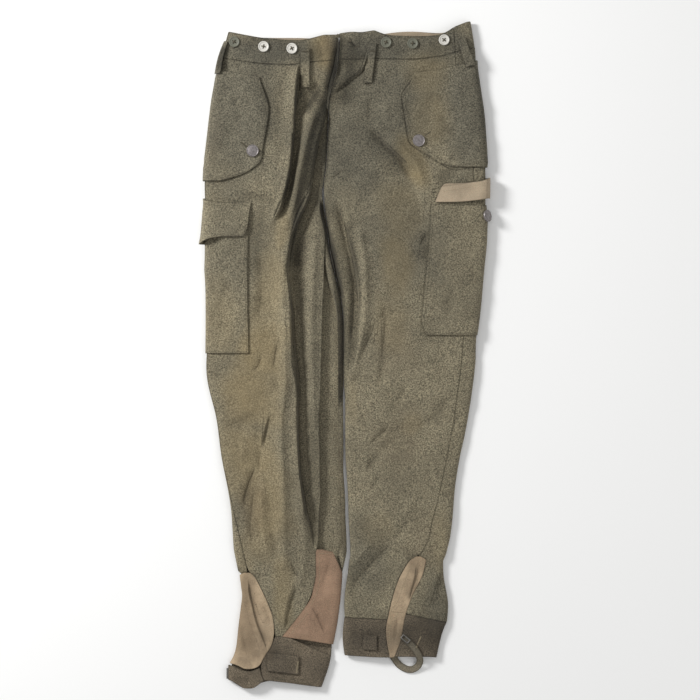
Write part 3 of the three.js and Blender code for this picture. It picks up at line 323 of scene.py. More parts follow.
def bevel_edges(obj, width, segments, angle):
    """Bevels the edges of a piece that are sharper than angle, with width in mm. On the rims of cloth this
    is narrow, and keeps them in place when the piece is subdivided."""
    modifier = obj.modifiers.new("Edges", "BEVEL")
    modifier.width = width * MM
    modifier.segments = segments
    modifier.limit_method = "ANGLE"
    modifier.angle_limit = angle
    select_only(obj)
    bpy.ops.object.modifier_apply(modifier=modifier.name)


RIM_STEP_MM = 1.5
RIM_FAR_MM = 9.0
RIM_NEAR_MM = 0.8


def rim_of(obj):
    """Places in mm along the sharp edges of a piece, as a tree to search."""
    net = bmesh.new()
    net.from_mesh(obj.data)
    places = []
    for edge in net.edges:
        if len(edge.link_faces) == 2 and edge.calc_face_angle(0.0) > RIM_ANGLE:
            a, b = (corner.co / MM for corner in edge.verts)
            count = max(1, math.ceil((b - a).length / RIM_STEP_MM))
            places += [a.lerp(b, i / count) for i in range(count)]
    net.free()
    return tree_of(places, range(len(places)))


def tree_of(co, chosen):
    tree = KDTree(len(chosen))
    for i in chosen:
        tree.insert(co[i], int(i))
    tree.balance()
    return tree


def distances(tree, co):
    return np.array([min(RIM_FAR_MM, tree.find(point)[2]) for point in co])


def subdivide(obj, levels, simple=False):
    modifier = obj.modifiers.new("Round", "SUBSURF")
    modifier.subdivision_type = "SIMPLE" if simple else "CATMULL_CLARK"
    modifier.levels = levels
    modifier.render_levels = levels
    select_only(obj)
    bpy.ops.object.modifier_apply(modifier=modifier.name)


def points_mm(obj):
    co = np.empty(len(obj.data.vertices) * 3)
    obj.data.vertices.foreach_get("co", co)
    return co.reshape(-1, 3) / MM


def set_points_mm(obj, co):
    obj.data.vertices.foreach_set("co", (co * MM).ravel())
    obj.data.update()


def set_attribute(obj, name, values):
    attribute = obj.data.attributes.new(name, "FLOAT", "POINT")
    attribute.data.foreach_set("value", np.ascontiguousarray(values, dtype=np.float32))


# %% [markdown]
# The real cloth is stained: ochre down the front of the photo's left leg, on the fly and at the right
# hip, and brown at the shins. Stains are soft blots of uneven outline, listed one by one. Shade is painted
# into the colour along a few lines, in deep folds, in the gaps between pieces and under raised edges, and a
# few of these lines darken the tone of the waistband and a cuff. All are kept on the vertices.

# %% Stains and shade
OCHRE = [
    # strength, centre_px, radii_px, turn_deg
    (0.9, (324, 50), (13, 24), 10), (0.5, (283, 232), (9, 28), -12), (0.5, (270, 296), (20, 60), -8),
    (0.85, (262, 350), (26, 40), -10), (0.8, (250, 395), (34, 46), 0), (0.7, (250, 460), (32, 50), 8),
    (0.7, (268, 505), (24, 60), 0), (0.55, (283, 590), (12, 44), 5), (0.55, (426, 72), (24, 34), -15),
    (0.5, (430, 118), (26, 34), 0), (0.9, (412, 160), (14, 36), 22), (0.55, (400, 215), (26, 40), 0),
    (0.75, (396, 262), (20, 40), 10), (0.35, (392, 320), (20, 40), 10), (0.35, (412, 425), (14, 12), 20),
    (0.35, (222, 320), (22, 50), 0), (0.3, (441, 545), (12, 40), 0), (0.3, (375, 530), (18, 24), -30),
    (0.25, (352, 400), (8, 28), 0), (0.3, (244, 560), (14, 30), 0),
]
BROWN = [
    (0.5, (252, 505), (16, 38), 0), (0.4, (332, 470), (14, 60), 0), (0.3, (398, 440), (30, 40), 0),
    (0.3, (420, 545), (20, 34), 0), (0.4, (335, 530), (16, 26), 0), (0.3, (212, 130), (14, 40), 0),
    (0.25, (395, 350), (26, 40), 0), (0.5, (330, 46), (10, 14), 0), (1.0, (247, 622), (17, 52), 0),
    (0.5, (262, 640), (9, 20), 20), (0.05, (396, 625), (9, 20), 0), (0.35, (300, 640), (12, 12), 0),
]
GREY = [
    (0.85, (238, 110), (52, 90), 0), (0.8, (385, 105), (66, 80), 0), (0.95, (470, 100), (40, 90), 0),
    (0.4, (232, 250), (34, 60), 0), (0.85, (350, 150), (50, 60), 0), (0.3, (322, 350), (24, 160), 0),
    (0.12, (450, 300), (40, 70), 0), (0.5, (365, 560), (24, 50), 0), (0.7, (400, 240), (44, 70), 0),
    (1.0, (266, 52), (60, 20), 0), (1.0, (380, 48), (60, 22), 0), (1.0, (440, 46), (50, 24), 0),
    (0.6, (438, 600), (14, 40), 0), (0.35, (378, 640), (40, 16), 0),
]
# Shade painted into the colour along these lines: in deep folds, in the gaps between pieces and under raised
# edges. The last three rows darken the tone of the waistband and a cuff.
SHADE_AND_TONE = [
    # strength, reach_mm, photo_px
    (0.9, 12, [(340, 30), (337, 60), (330, 88), (320, 112), (311, 140), (305, 170), (299, 200),
        (296, 235), (296, 275)]),
    (0.15, 9, [(297, 235), (296, 300), (297, 360), (299, 420), (301, 470), (306, 520), (313, 565),
        (316, 590)]),
    (0.22, 16, [(311, 400), (316, 470), (322, 530), (326, 560)]),
    (0.9, 9, [(320, 195), (326, 228), (333, 255), (338, 282), (341, 310), (342, 345), (340, 385),
        (341, 410)]),
    (0.5, 8, [(349, 215), (352, 250), (354, 285), (352, 320), (349, 350), (346, 380)]),
    (0.6, 18, [(352, 36), (352, 60), (346, 86), (340, 110)]),
    (0.26, 26, [(345, 118), (365, 140), (392, 158), (410, 175)]),
    (0.2, 18, [(338, 150), (352, 168), (370, 176), (388, 178)]),
    (0.35, 9, [(282, 205), (268, 200), (252, 196), (235, 194)]),
    (0.4, 14, [(346, 555), (348, 580), (352, 604)]), (0.35, 12, [(410, 545), (412, 560), (418, 580)]),
    (0.4, 12, [(258, 78), (265, 100), (270, 125), (266, 150)]),
    (0.5, 8, [(302, 66), (298, 100), (295, 140)]),
    (0.35, 10, [(478, 60), (483, 100), (486, 150), (487, 175)]),
    (0.3, 10, [(405, 96), (404, 120), (412, 140)]), (0.85, 7, [(226, 40), (221, 58), (217, 80)]),
    (0.8, 8, [(324, 82), (317, 93), (309, 106), (303, 118)]),
    (0.75, 5, [(341, 296), (342.5, 320), (342, 350), (342, 380), (343, 404)]),
    (0.45, 14, [(296, 120), (297, 150), (292, 180), (283, 206)]),
    (0.4, 8, [(420, 226), (424, 246), (420, 268)]), (0.3, 9, [(455, 168), (440, 178), (436, 190)]),
    (0.3, 10, [(262, 204), (258, 230), (256, 256)]),
    (0.12, 22, [(226, 44), (262, 50), (300, 54), (332, 56)]), (0.14, 22, [(346, 50), (400, 50), (470, 48)]),
    (0.5, 30, [(340, 634), (380, 634), (454, 640)]),
]
print("stains", len(OCHRE) + len(BROWN) + len(GREY), "shade lines", len(SHADE_AND_TONE))

# %% [markdown]
# Seams and the sharpest creases are dark lines a millimetre or two wide, finer than the mesh, and so are
# the edges of pieces that lie on a panel: dark seams, painted shadow along the edges and painted shade in
# the creases. The mesh only holds how far each vertex is from the nearest line, and the shader draws the line
# from that. A dark side of 1 is the photo's right and -1 its left: there the cloth dips away beside the
# crease, and shade is painted beside it.

# %% Lines of seams and creases
SEAM_AND_EDGE_SHADE_ROWS = [
    # strength, width_mm, photo_px: dark seams under a flap, and painted shadow along the edges of what lies
    # on a panel
    (0.75, 1.9, [(259.5, 75.5), (263.5, 90), (270.3, 110), (267, 126), (264, 140), (262.5, 152),
        (260, 160), (254, 168), (240, 174.5), (225, 181), (206, 182.5)]),
    (0.9, 1.4, [(413.5, 75), (409, 85), (402.5, 93), (402, 100), (405, 120), (408, 139), (412, 146),
        (430, 157), (451, 170), (466, 169), (481, 167)]),
    (0.6, 1.4, [(250.5, 212), (248.8, 224), (247, 236), (247.6, 280), (248.5, 320), (249.5, 354),
        (230, 354.6), (206, 354)]),
    (0.55, 1.4, [(206, 197.5), (222, 199), (243, 202.5), (251.5, 203.8), (250, 214)]),
    (0.6, 2.0, [(246, 237.5), (236, 236.5), (225, 236.5), (212, 240.5), (203, 245)]),
    (0.7, 1.4, [(431, 196), (430.5, 223), (427, 266), (421, 328), (422, 333), (430, 334), (445, 336),
        (478, 336.5)]),
    (0.4, 1.1, [(456.7, 51), (457, 62), (461.7, 77), (465.8, 122), (469, 138), (473, 152), (480, 165)]),
    (0.5, 1.0, [(328, 122), (327.6, 140), (327.4, 172), (323.5, 251), (321, 300), (319, 350),
        (318.8, 385), (320.5, 430), (321, 470), (319.5, 492)]),
    (0.75, 1.5, [(376.2, 49), (375.4, 60), (373.6, 74), (371.8, 87)]),
    (0.5, 1.2, [(310.5, 50), (310.5, 70), (310.2, 89)]),
    (0.4, 1.2, [(300.2, 50), (300.5, 70), (300.2, 88)]), (0.55, 1.3, [(457.8, 42), (462, 56), (467.5, 74)]),
    (0.7, 1.8, [(434, 202.8), (452, 203.6), (467, 205), (478, 205.8), (491, 207.5)]),
    (0.7, 1.6, [(437, 195), (438, 189), (441, 187), (465, 184), (481, 180.5), (492, 177)]),
    (0.5, 1.2, [(268, 655.5), (284, 658.5), (300, 661)]),
    (0.5, 1.2, [(266.5, 671.5), (284, 673.5), (299, 675.5)]),
    (0.6, 1.2, [(363, 633), (362, 641), (361, 649)]), (0.6, 1.2, [(378, 633), (377, 641), (376, 649)]),
]
SHARP_ROWS = [
    # strength, width_mm, dark_side, photo_px: shade painted on each crease, and beside it on its dark side
    (0.8, 1.1, 0, [(298.8, 64), (296.7, 95), (294.7, 122), (293.6, 136)]),
    (0.95, 2.2, 1, [(294, 126), (292.5, 148), (290.5, 165), (288, 182), (284, 196), (278.5, 207),
        (272.5, 221)]),
    (0.95, 2.0, -1, [(338.5, 44), (336.5, 56), (334, 70), (330, 84), (327.5, 97)]),
    (0.95, 2.2, -1, [(327.5, 95), (327, 108), (324.3, 121.7), (318.7, 140), (315, 161), (311.7, 181.7),
        (306, 197)]),
    (0.76, 2.0, 1, [(313, 178), (308, 193), (299.5, 209), (293, 228), (289, 250), (287.5, 270),
        (290, 290), (292.5, 315), (292.5, 340), (292.5, 362), (297, 385), (298, 403), (297.3, 427),
        (299, 455), (300.5, 473), (304, 493), (308.5, 517), (313, 538), (315, 552)]),
    (0.9, 1.8, 1, [(320, 198), (321.5, 214), (325, 228), (327.5, 245), (332, 262), (337, 283), (342, 304)]),
    (0.95, 2.0, 0, [(342.6, 304), (343.4, 330), (343.3, 360), (343.4, 390), (344, 404)]),
    (0.7, 1.6, -1, [(368, 47), (364.5, 60), (360.5, 71), (350, 80), (340, 90), (331, 97.5)]),
    (0.8, 1.2, 0, [(360, 47.7), (355, 46.7), (351.5, 43.2), (346.8, 45.5)]),
    (0.5, 1.5, -1, [(366, 126), (371, 131), (380, 139), (393, 152.5), (403, 160.5), (409, 168)]),
    (0.55, 1.0, 0, [(342, 172), (333, 178)]),
    (0.68, 2.0, -1, [(337, 206), (343, 220), (351, 240), (357.5, 262), (361, 288), (360.5, 306),
        (358, 328), (356.5, 350), (352, 372)]),
    (0.5, 1.4, 1, [(375.5, 316), (373, 329), (368.5, 340), (362, 354)]),
    (0.5, 1.0, 0, [(380.7, 306), (381.8, 330), (382.6, 349), (380, 367)]),
    (0.5, 1.3, 1, [(427.5, 234), (422, 241), (419, 247.5)]),
    (0.4, 1.2, 0, [(420.5, 209), (424, 216), (428.5, 222)]),
    (0.5, 1.2, 0, [(261.5, 355), (259, 365), (251.5, 372.5)]),
    (0.5, 1.2, 0, [(281, 332), (276, 352), (273.5, 374)]),
    (0.6, 1.6, 1, [(264.5, 411), (263.3, 424), (262.6, 438), (262, 451)]),
    (0.6, 1.7, 1, [(256.4, 463), (253, 473), (249.5, 481), (245, 494), (242.5, 508)]),
    (0.4, 1.3, 0, [(261.7, 452), (263.5, 472), (266, 492), (267, 508)]),
    (0.4, 1.2, 0, [(246, 433), (243, 450), (245.5, 464)]),
    (0.3, 1.5, 0, [(224, 428), (243, 420), (263, 410)]),
    (0.3, 1.3, 0, [(273, 382), (277, 390), (281, 398)]),
    (0.35, 1.4, 0, [(254, 486), (252, 510), (250.5, 530), (254, 552)]),
    (0.35, 1.5, 0, [(275, 480), (277.5, 500), (281, 525), (285, 548)]),
    (0.3, 1.4, 0, [(226, 296), (220, 304), (214, 312)]),
    (0.35, 1.3, 0, [(258, 236), (256, 250), (260, 262)]),
    (0.55, 1.3, -1, [(391, 425), (384, 432), (376, 438.5), (369, 446)]),
    (0.4, 1.5, 0, [(406, 381), (403, 390), (394, 403), (387, 417)]),
    (0.3, 1.4, 0, [(448, 398), (438, 414), (417, 430)]),
    (0.35, 1.3, 0, [(380, 452), (372, 462), (364, 473)]),
    (0.35, 1.2, 0, [(377, 479), (371, 488), (366, 498)]),
    (0.3, 1.6, 0, [(411, 511), (402, 522), (388, 533)]),
    (0.4, 1.6, -1, [(394, 541), (380, 556), (366, 570), (352, 588)]),
    (0.55, 1.3, 1, [(290, 560), (293.5, 569), (299, 579.5)]),
    (0.5, 1.8, -1, [(297.5, 580), (291, 596), (287, 612)]),
    (0.5, 1.4, 1, [(438, 575), (434, 594), (428, 607), (424, 612)]),
    (0.7, 1.5, 1, [(249, 578), (249.5, 592), (253, 606), (257, 622), (264, 640), (268, 653)]),
    (0.3, 1.3, 0, [(257, 598), (262, 608), (265, 614)]),
    (0.3, 1.3, 0, [(243, 634), (245, 646), (248, 657)]),
    (0.5, 1.4, 1, [(309, 604), (315, 612), (321, 625), (325.5, 637)]),
    (0.3, 1.3, 0, [(330, 560), (328, 566), (326, 574)]),
    (0.7, 1.5, 1, [(416.5, 562), (415, 576), (412, 588), (409, 603)]),
    (0.45, 1.0, 0, [(388.5, 611.5), (397, 612), (406, 612.5)]),
    (0.4, 1.2, 0, [(397, 616), (397, 630), (393, 644)]),
    (0.55, 1.3, 0, [(406, 611.5), (413, 614), (420, 616), (428, 618)]),
]
print("seam lines", len(SEAM_AND_EDGE_SHADE_ROWS), "sharp creases", len(SHARP_ROWS))

# %% [markdown]
# Every vertex of a cloth piece learns its stains, its painted shade and its distance to the lines as
# attributes, which the cloth materials read later. They fade out down the sides, since the photo hides the
# back.

# %% Dress the vertices
STAIN_RAGGED = 0.22
NO_LINE_MM = 99.0
LINE_REACH_MM = 12.0
LINE_FULL = 1.6
CREASE_TAPER = 0.7
FRONT_FROM_MM, FRONT_FULL_MM = 2.5, 6.0
HOLLOW_MM = 4.0


def blots(rows, x, y):
    total = np.zeros_like(x)
    for strength, centre, radii, turn in rows:
        cx, cy = from_photo(centre)
        a = math.radians(turn)
        dx = (x - cx) * math.cos(a) + (y - cy) * math.sin(a)
        dy = (y - cy) * math.cos(a) - (x - cx) * math.sin(a)
        rough = 1 + STAIN_RAGGED * np.sin(0.07 * x + 0.031 * y) * np.sin(0.05 * y - 0.02 * x + 1.3)
        far = np.hypot(dx / (radii[0] * PIXEL_MM), dy / (radii[1] * PIXEL_MM)) * rough
        total = np.maximum(total, strength * (1 - smooth(0.3, 1.35, far)))
    return total


SHADE_AND_TONE_LINES = [(strength, reach, dense(path)) for strength, reach, path in SHADE_AND_TONE]


# Painted shade along the shade lines, and a darker tone on the waistband and a cuff.
def shade(x, y):
    total = np.zeros_like(x)
    for strength, reach, line in SHADE_AND_TONE_LINES:
        near, d, life = beside(line, REACHES * reach, x, y)
        total[near] = np.maximum(total[near], strength * life * np.exp(-((d / reach) ** 2)))
    return total


def along_lines(rows, x, y, taper):
    """For each place: its signed distance to the nearest line in widths of that line, and the line's strength
    and dark side. The shader draws sharp lines from these, finer than the mesh. Taper is the share of its
    width that a line loses towards its ends."""
    best = np.full_like(x, NO_LINE_MM)
    strength = np.zeros_like(x)
    side = np.zeros_like(x)
    widths = np.full_like(x, 1.0)
    for power, width, dark_side, line in rows:
        near, d, life = beside(line, LINE_REACH_MM, x, y)
        closer = (np.abs(d) < LINE_REACH_MM) & (np.abs(d) < np.abs(best[near]))
        here = near[closer]
        best[here] = d[closer]
        strength[here] = power * np.minimum(1, LINE_FULL * life[closer])
        side[here] = dark_side
        widths[here] = width * (1 - taper * (1 - life[closer]))
    return best / widths, strength, side


SEAM_AND_EDGE_SHADE_LINES = [(power, width, 0, dense(path)) for power, width, path in SEAM_AND_EDGE_SHADE_ROWS]
CREASE_LINES = [(power, width, side, dense(path)) for power, width, side, path in SHARP_ROWS]


def dress(obj, co, height):
    """Stores the stains, the painted shade, the depth of the creases and the lines on the piece."""
    front = smooth(FRONT_FROM_MM, FRONT_FULL_MM, co[:, 2])
    x, y = co[:, 0], co[:, 1]
    set_attribute(obj, "ochre", blots(OCHRE, x, y) * front)
    set_attribute(obj, "brown", blots(BROWN, x, y) * front)
    set_attribute(obj, "grey", blots(GREY, x, y) * front)
    # How deep each place lies in a crease hollow; the materials darken it there with dirt and painted shade.
    set_attribute(obj, "hollow", np.clip(-height / HOLLOW_MM, 0, 1) * front)
    set_attribute(obj, "shade", shade(x, y) * front)
    for name, rows, taper in (("seam_and_edge_shade", SEAM_AND_EDGE_SHADE_LINES, 0.0), ("crease", CREASE_LINES, CREASE_TAPER)):
        distance, strength, side = along_lines(rows, x, y, taper)
        set_attribute(obj, name + "_far", distance)
        set_attribute(obj, name + "_power", strength * front)
        if taper:
            set_attribute(obj, name + "_side", side)


# %% [markdown]
# The webbing of the strap loop shows its whole face in the photo, while its solid is a narrower band. Its
# points move out from the loop's middle line, and its lower end goes under the tip of the gusset.

# %% The strap loop
STRAP_PATH = [
    (403.4, 636), (410, 643), (416.5, 651), (420, 659), (417.8, 666.5), (411, 670.2), (402.8, 667.8),
    (396.5, 662.8), (392.8, 659.6),
]
STRAP_STEP_MM = 0.3
STRAP_WIDER = 1.4
STRAP_TUCK_MM = (-2.5, 10.0, 0.8)
STRAP_TUCK_REACH_MM = 14.0


def spread_strap(co):
    """Gives the webbing of the strap loop its full width, and tucks its lower end under the gusset."""
    line = dense(STRAP_PATH)
    runs = np.concatenate([[0], np.cumsum(np.hypot(*np.diff(line, axis=0).T))])
    steps = np.arange(0, runs[-1], STRAP_STEP_MM)
    middle = np.stack([np.interp(steps, runs, line[:, 0]), np.interp(steps, runs, line[:, 1])], axis=1)
    for i, place in enumerate(co[:, :2].copy()):
        nearest = middle[np.argmin(np.hypot(*(middle - place).T))]
        co[i, :2] = nearest + (place - nearest) * STRAP_WIDER
    far = np.hypot(co[:, 0] - line[-1][0], co[:, 1] - line[-1][1])
    co += np.outer(1 - smooth(0, STRAP_TUCK_REACH_MM, far), STRAP_TUCK_MM)


print("strap spread", STRAP_WIDER, "times")

# %% [markdown]
# Now the pieces themselves. The table gives each CAD node its levels of subdivision, whether corners stay
# crisp, its cloth, and what it rests on. The fronts get the finest grid because the creases run there.

# %% Make the cloth pieces
# Levels of subdivision, and whether corners stay crisp.
FINE, PLAIN, CRISP = (3, False), (2, False), (2, True)
CLOTH = [
    # node, finish, material, rests_on
    ("back_right", PLAIN, "wool", ()), ("back_left", PLAIN, "wool", ()),
    ("front_right", FINE, "wool", ("back_right",)), ("front_left", FINE, "wool", ("back_left",)),
    ("band_back_right", PLAIN, "wool", ()), ("band_back_left", PLAIN, "wool", ()),
    ("band_front_right", FINE, "wool", ("band_back_right",)),
    ("band_front_left", FINE, "wool", ("band_back_left",)),
    ("band_lining_right", PLAIN, "lining", ("band_back_right",)),
    ("band_lining_left", PLAIN, "lining", ("band_back_left",)), ("cuff_back_right", PLAIN, "band", ()),
    ("cuff_back_left", PLAIN, "band", ()), ("cuff_front_right", PLAIN, "band", ("cuff_back_right",)),
    ("cuff_front_left", PLAIN, "band", ("cuff_back_left",)),
    ("cargo_pocket_right", CRISP, "wool", ("front_right",)),
    ("cargo_pocket_left", CRISP, "wool", ("front_left",)),
    ("cargo_flap_right", CRISP, "wool", ("cargo_pocket_right",)),
    ("cargo_flap_left", CRISP, "wool", ("front_left",)),
    ("cargo_flap_left_lining", CRISP, "lining", ("cargo_flap_left",)),
    ("hip_flap_right", CRISP, "wool", ("front_right",)), ("hip_flap_left", CRISP, "wool", ("front_left",)),
    ("gusset_outer_right", FINE, "tan", ("back_right",)),
    ("gusset_outer_left", FINE, "tan", ("back_left",)),
    ("gusset_inner_right", CRISP, "pink", ("back_right",)),
    ("ankle_strap_right", CRISP, "band", ("cuff_back_right",)),
    ("cuff_tab_right", CRISP, "band", ("cuff_front_right",)),
    ("keeper_left", CRISP, "band", ("cuff_front_left",)),
    ("belt_loop_front_right", CRISP, "wool", ("front_right",)),
    ("belt_loop_front_left", CRISP, "wool", ("front_left",)),
    ("belt_loop_side_left", CRISP, "wool", ("hip_flap_left",)),
    ("belt_loop_side_right", CRISP, "wool", ("hip_flap_right",)),
    ("strap_loop_left", PLAIN, "webbing", ("cuff_back_left",)),
]
THIN_RIM_MM = 0.25
pieces = {}
rim_far = {}
for node, (levels, crisp), cloth, rests_on in CLOTH:
    piece = copy_of(node, "cloth_" + node)
    rim_tree = rim_of(piece)
    bevel_edges(piece, THIN_RIM_MM if cloth == "lining" else RIM_MM, 1, RIM_ANGLE)
    if crisp:
        subdivide(piece, 1, simple=True)
    subdivide(piece, levels)
    place = points_mm(piece)
    rim_far[node] = distances(rim_tree, place)
    if node == "strap_loop_left":
        spread_strap(place)
    height = lay_creases(place)
    set_points_mm(piece, place)
    dress(piece, place, height)
    piece.data.shade_smooth()
    pieces[node] = piece
    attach(piece, BODY)
    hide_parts(node)
triangles = {name: sum(len(p.vertices) - 2 for p in piece.data.polygons) for name, piece in pieces.items()}
print("cloth pieces", len(pieces), "triangles", sum(triangles.values()), "largest", max(triangles.values()))

# %% [markdown]
# A seam draws its two edges together. The solids keep a clear gap there, so each rim moves most of the way
# to the rim of the piece it is sewn to, and every vertex then learns how far it is from its own rim.

# %% Draw the seams together
SEAM_REACH_MM = 1.3
SEAM_DRAW = 0.4
FLY_DRAW = 0.5
RIM_CORE_MM = 0.55
SEWN = [
    ("front_right", "front_left"), ("band_front_right", "band_front_left"), ("front_right", "back_right"),
    ("front_left", "back_left"), ("front_right", "band_front_right"), ("front_left", "band_front_left"),
    ("back_right", "band_back_right"), ("back_left", "band_back_left"),
    ("back_right", "gusset_outer_right"), ("front_right", "gusset_outer_right"),
    ("front_right", "gusset_inner_right"), ("back_right", "gusset_inner_right"),
    ("front_left", "gusset_outer_left"), ("back_left", "gusset_outer_left"),
    ("front_right", "cuff_front_right"), ("front_left", "cuff_front_left"),
    ("back_right", "cuff_back_right"), ("back_left", "cuff_back_left"),
    ("gusset_inner_right", "cuff_front_right"), ("cuff_front_left", "gusset_outer_left"),
    ("cuff_back_left", "gusset_outer_left"),
]
PARTING = [
    (321.5, 195.5), (324.9, 210.3), (327.8, 230.3), (329.3, 250.3), (332.4, 265.3), (338.4, 285.3),
    (342.8, 307.8), (343.4, 330.3), (343.4, 390.3),
]
PARTING_REACH_MM = 5.0
PARTING_DRAW_MM = 0.42


def close_parting(co):
    """Draws the inner edges of the two legs together where they touch in the photo."""
    near, d, life = beside(dense(PARTING), PARTING_REACH_MM, co[:, 0], co[:, 1])
    pull = np.clip(1 - np.abs(d) / PARTING_REACH_MM, 0, 1) * np.minimum(1, 3 * life)
    co[near, 0] -= np.sign(d) * PARTING_DRAW_MM * pull


places = {name: points_mm(piece) for name, piece in pieces.items()}
for name in ("front_right", "front_left", "back_right", "back_left"):
    close_parting(places[name])
rims = {name: np.nonzero(far < RIM_NEAR_MM)[0] for name, far in rim_far.items()}
for first, second in SEWN:
    draw = FLY_DRAW if first.replace("right", "left") == second else SEAM_DRAW
    moves = []
    for mine, other in ((first, second), (second, first)):
        tree = tree_of(places[other], rims[other])
        for i in rims[mine]:
            point, _, far = tree.find(places[mine][i])
            if point is not None and far < SEAM_REACH_MM:
                moves.append((mine, i, np.array(point) - places[mine][i]))
    for mine, i, move in moves:
        places[mine][i] += draw * move
for name, piece in pieces.items():
    set_points_mm(piece, places[name])
    set_attribute(piece, "rim", np.maximum(0, rim_far[name] - RIM_CORE_MM))
print("seams drawn together", len(SEWN))

# %% [markdown]

# %% [markdown]
# The cloth is worn wool melange: strands of grey, green and tan spun together, felted to a short nap.
# The shader adds up noises of falling size on the object's own coordinates. Shader maths reads best as
# plain sums, so a small class wraps a socket.

# %% Shader tools
LEE_WIDTHS = 5.0
LINE_SHARP = 0.8
FUZZ_ROUGH = 0.6


class Maths:
    """A shader socket that can be added, multiplied and subtracted."""

    tree = None

    def __init__(self, socket):
        self.socket = socket

    def apply(self, operation, *others, clamp=False):
        node = Maths.tree.nodes.new("ShaderNodeMath")
        node.operation = operation
        node.use_clamp = clamp
        for i, value in enumerate((self, *others)):
            if isinstance(value, Maths):
                Maths.tree.links.new(value.socket, node.inputs[i])
            else:
                node.inputs[i].default_value = value
        return Maths(node.outputs[0])

    def __add__(self, other):
        return self.apply("ADD", other)

    def __mul__(self, other):
        return self.apply("MULTIPLY", other)

    def __sub__(self, other):
        return self.apply("SUBTRACT", other)

    def __rsub__(self, other):
        return self.apply("MULTIPLY", -1.0).apply("ADD", other)

    def step(self, low, high):
        """0 below low, 1 above high."""
        return ((self - low) * (1 / (high - low))).apply("ADD", 0.0, clamp=True)


class Cloth:
    """A material whose nodes are made by one method."""

    def __init__(self, name, roughness, metallic=0.0):
        self.material = bpy.data.materials.new(name)
        self.material.use_nodes = True
        self.tree = self.material.node_tree
        Maths.tree = self.tree
        self.shader = self.tree.nodes["Principled BSDF"]
        self.shader.inputs["Roughness"].default_value = roughness
        self.shader.inputs["Metallic"].default_value = metallic
        self.place = self.node("TexCoord").outputs["Object"]

    def node(self, kind, settings=None, sockets=None):
        """Adds a node. Sockets holds its inputs by name or number: a value, a socket or a Maths."""
        made = self.tree.nodes.new("ShaderNode" + kind)
        for key, value in (settings or {}).items():
            setattr(made, key, value)
        for key, value in (sockets or {}).items():
            source = value.socket if isinstance(value, Maths) else value
            if isinstance(source, bpy.types.NodeSocket):
                self.tree.links.new(source, made.inputs[key])
            else:
                made.inputs[key].default_value = source
        return made

    def noise(self, scale, detail=2.0, roughness=0.5, place=None):
        """Noise from about 0 to 1, with scale in blots per metre."""
        made = self.node("TexNoise", None, {"Vector": place or self.place, "Scale": scale, "Detail": detail,
                                            "Roughness": roughness})
        return Maths(made.outputs["Fac"])

    def stretched(self, x, y, z):
        """Object coordinates stretched by the given factors."""
        made = self.node("VectorMath", {"operation": "MULTIPLY"}, {0: self.place, 1: (x, y, z)})
        return made.outputs[0]

    def attribute(self, name):
        return Maths(self.node("Attribute", {"attribute_name": name}).outputs["Fac"])

    def line(self, name):
        """How near a place is to a line of the named family, 1 on it."""
        power = self.attribute(name + "_power")
        core = (1.0 - self.attribute(name + "_far").apply("ABSOLUTE") * LINE_SHARP).apply("MAXIMUM", 0.0)
        return core * power * power

    def lee(self, name):
        """How deep a place is in the shade on the dark side of such a line."""
        power = self.attribute(name + "_power")
        out = self.attribute(name + "_far") * self.attribute(name + "_side")
        soft = out.step(0.0, 0.5) * (1.0 - out * (1 / LEE_WIDTHS)).apply("MAXIMUM", 0.0)
        return soft * power * power

    def mix(self, a, b, factor, blend="MIX"):
        """Colour a with colour b laid on it by factor."""
        made = self.node("Mix", {"data_type": "RGBA", "blend_type": blend})
        for key, value in ((0, factor), (6, a), (7, b)):
            source = value.socket if isinstance(value, Maths) else value
            if isinstance(source, bpy.types.NodeSocket):
                self.tree.links.new(source, made.inputs[key])
            elif key:
                made.inputs[key].default_value = (*source, 1.0)
            else:
                made.inputs[key].default_value = source
        return made.outputs[2]

    def bump(self, height, distance):
        made = self.node("Bump", None, {"Height": height, "Distance": distance, "Strength": 1.0})
        self.tree.links.new(made.outputs["Normal"], self.shader.inputs["Normal"])

    def colour(self, socket):
        self.tree.links.new(socket, self.shader.inputs["Base Color"])

    def fuzz(self, weight, tint):
        self.shader.inputs["Sheen Weight"].default_value = weight
        self.shader.inputs["Sheen Tint"].default_value = (*tint, 1.0)
        self.shader.inputs["Sheen Roughness"].default_value = FUZZ_ROUGH


def linear(r, g, b):
    """Linear colour of an sRGB one from 0 to 255."""
    return tuple(((v / 255 + 0.055) / 1.055) ** 2.4 if v > 10 else v / 3294.6 for v in (r, g, b))


# %% [markdown]
# Wool, the darker cloth of the cuffs, the two cottons and the lining share one recipe: a base colour,
# flecks of lighter and darker strands, slow mottling, stains, dirt and painted shade in the hollows, painted
# shade in folds and along creases and rims, and dark seams with painted shadow along the edges of pieces.

# %% Cloth materials
# Width in mm over which the rims of each piece get painted shade.
RIM_SHADE_MM = 1.0
OCHRE_RGB = (127, 111, 78)
BROWN_RGB = (96, 80, 60)
FUZZ_RGB = (200, 195, 175)
# Each of these multiplies the colour under it, where its share is full. The cold tint is a greyer tone of
# the cloth. The shade tint is painted shade in folds, gaps and under raised edges, and a darker tone on the
# waistband and a cuff. The dirt tint is dirt and painted shade in the hollows. The line tint draws dark
# seams, and painted shade along edges, creases and rims.
WHITE = (1.0, 1.0, 1.0)
COLD_TINT = (0.58, 0.61, 0.67)
SHADE_AND_TONE_TINT = (0.13, 0.125, 0.105)
DIRT_AND_SHADE_TINT = (0.45, 0.43, 0.40)
LINE_TINT = (0.16, 0.15, 0.115)
DARK_STRAND, LIGHT_STRAND, HUE_SHARE = 0.62, 0.66, 0.35
STAIN_SHARE, DIRT_AND_SHADE_SHARE = 0.6, 0.55
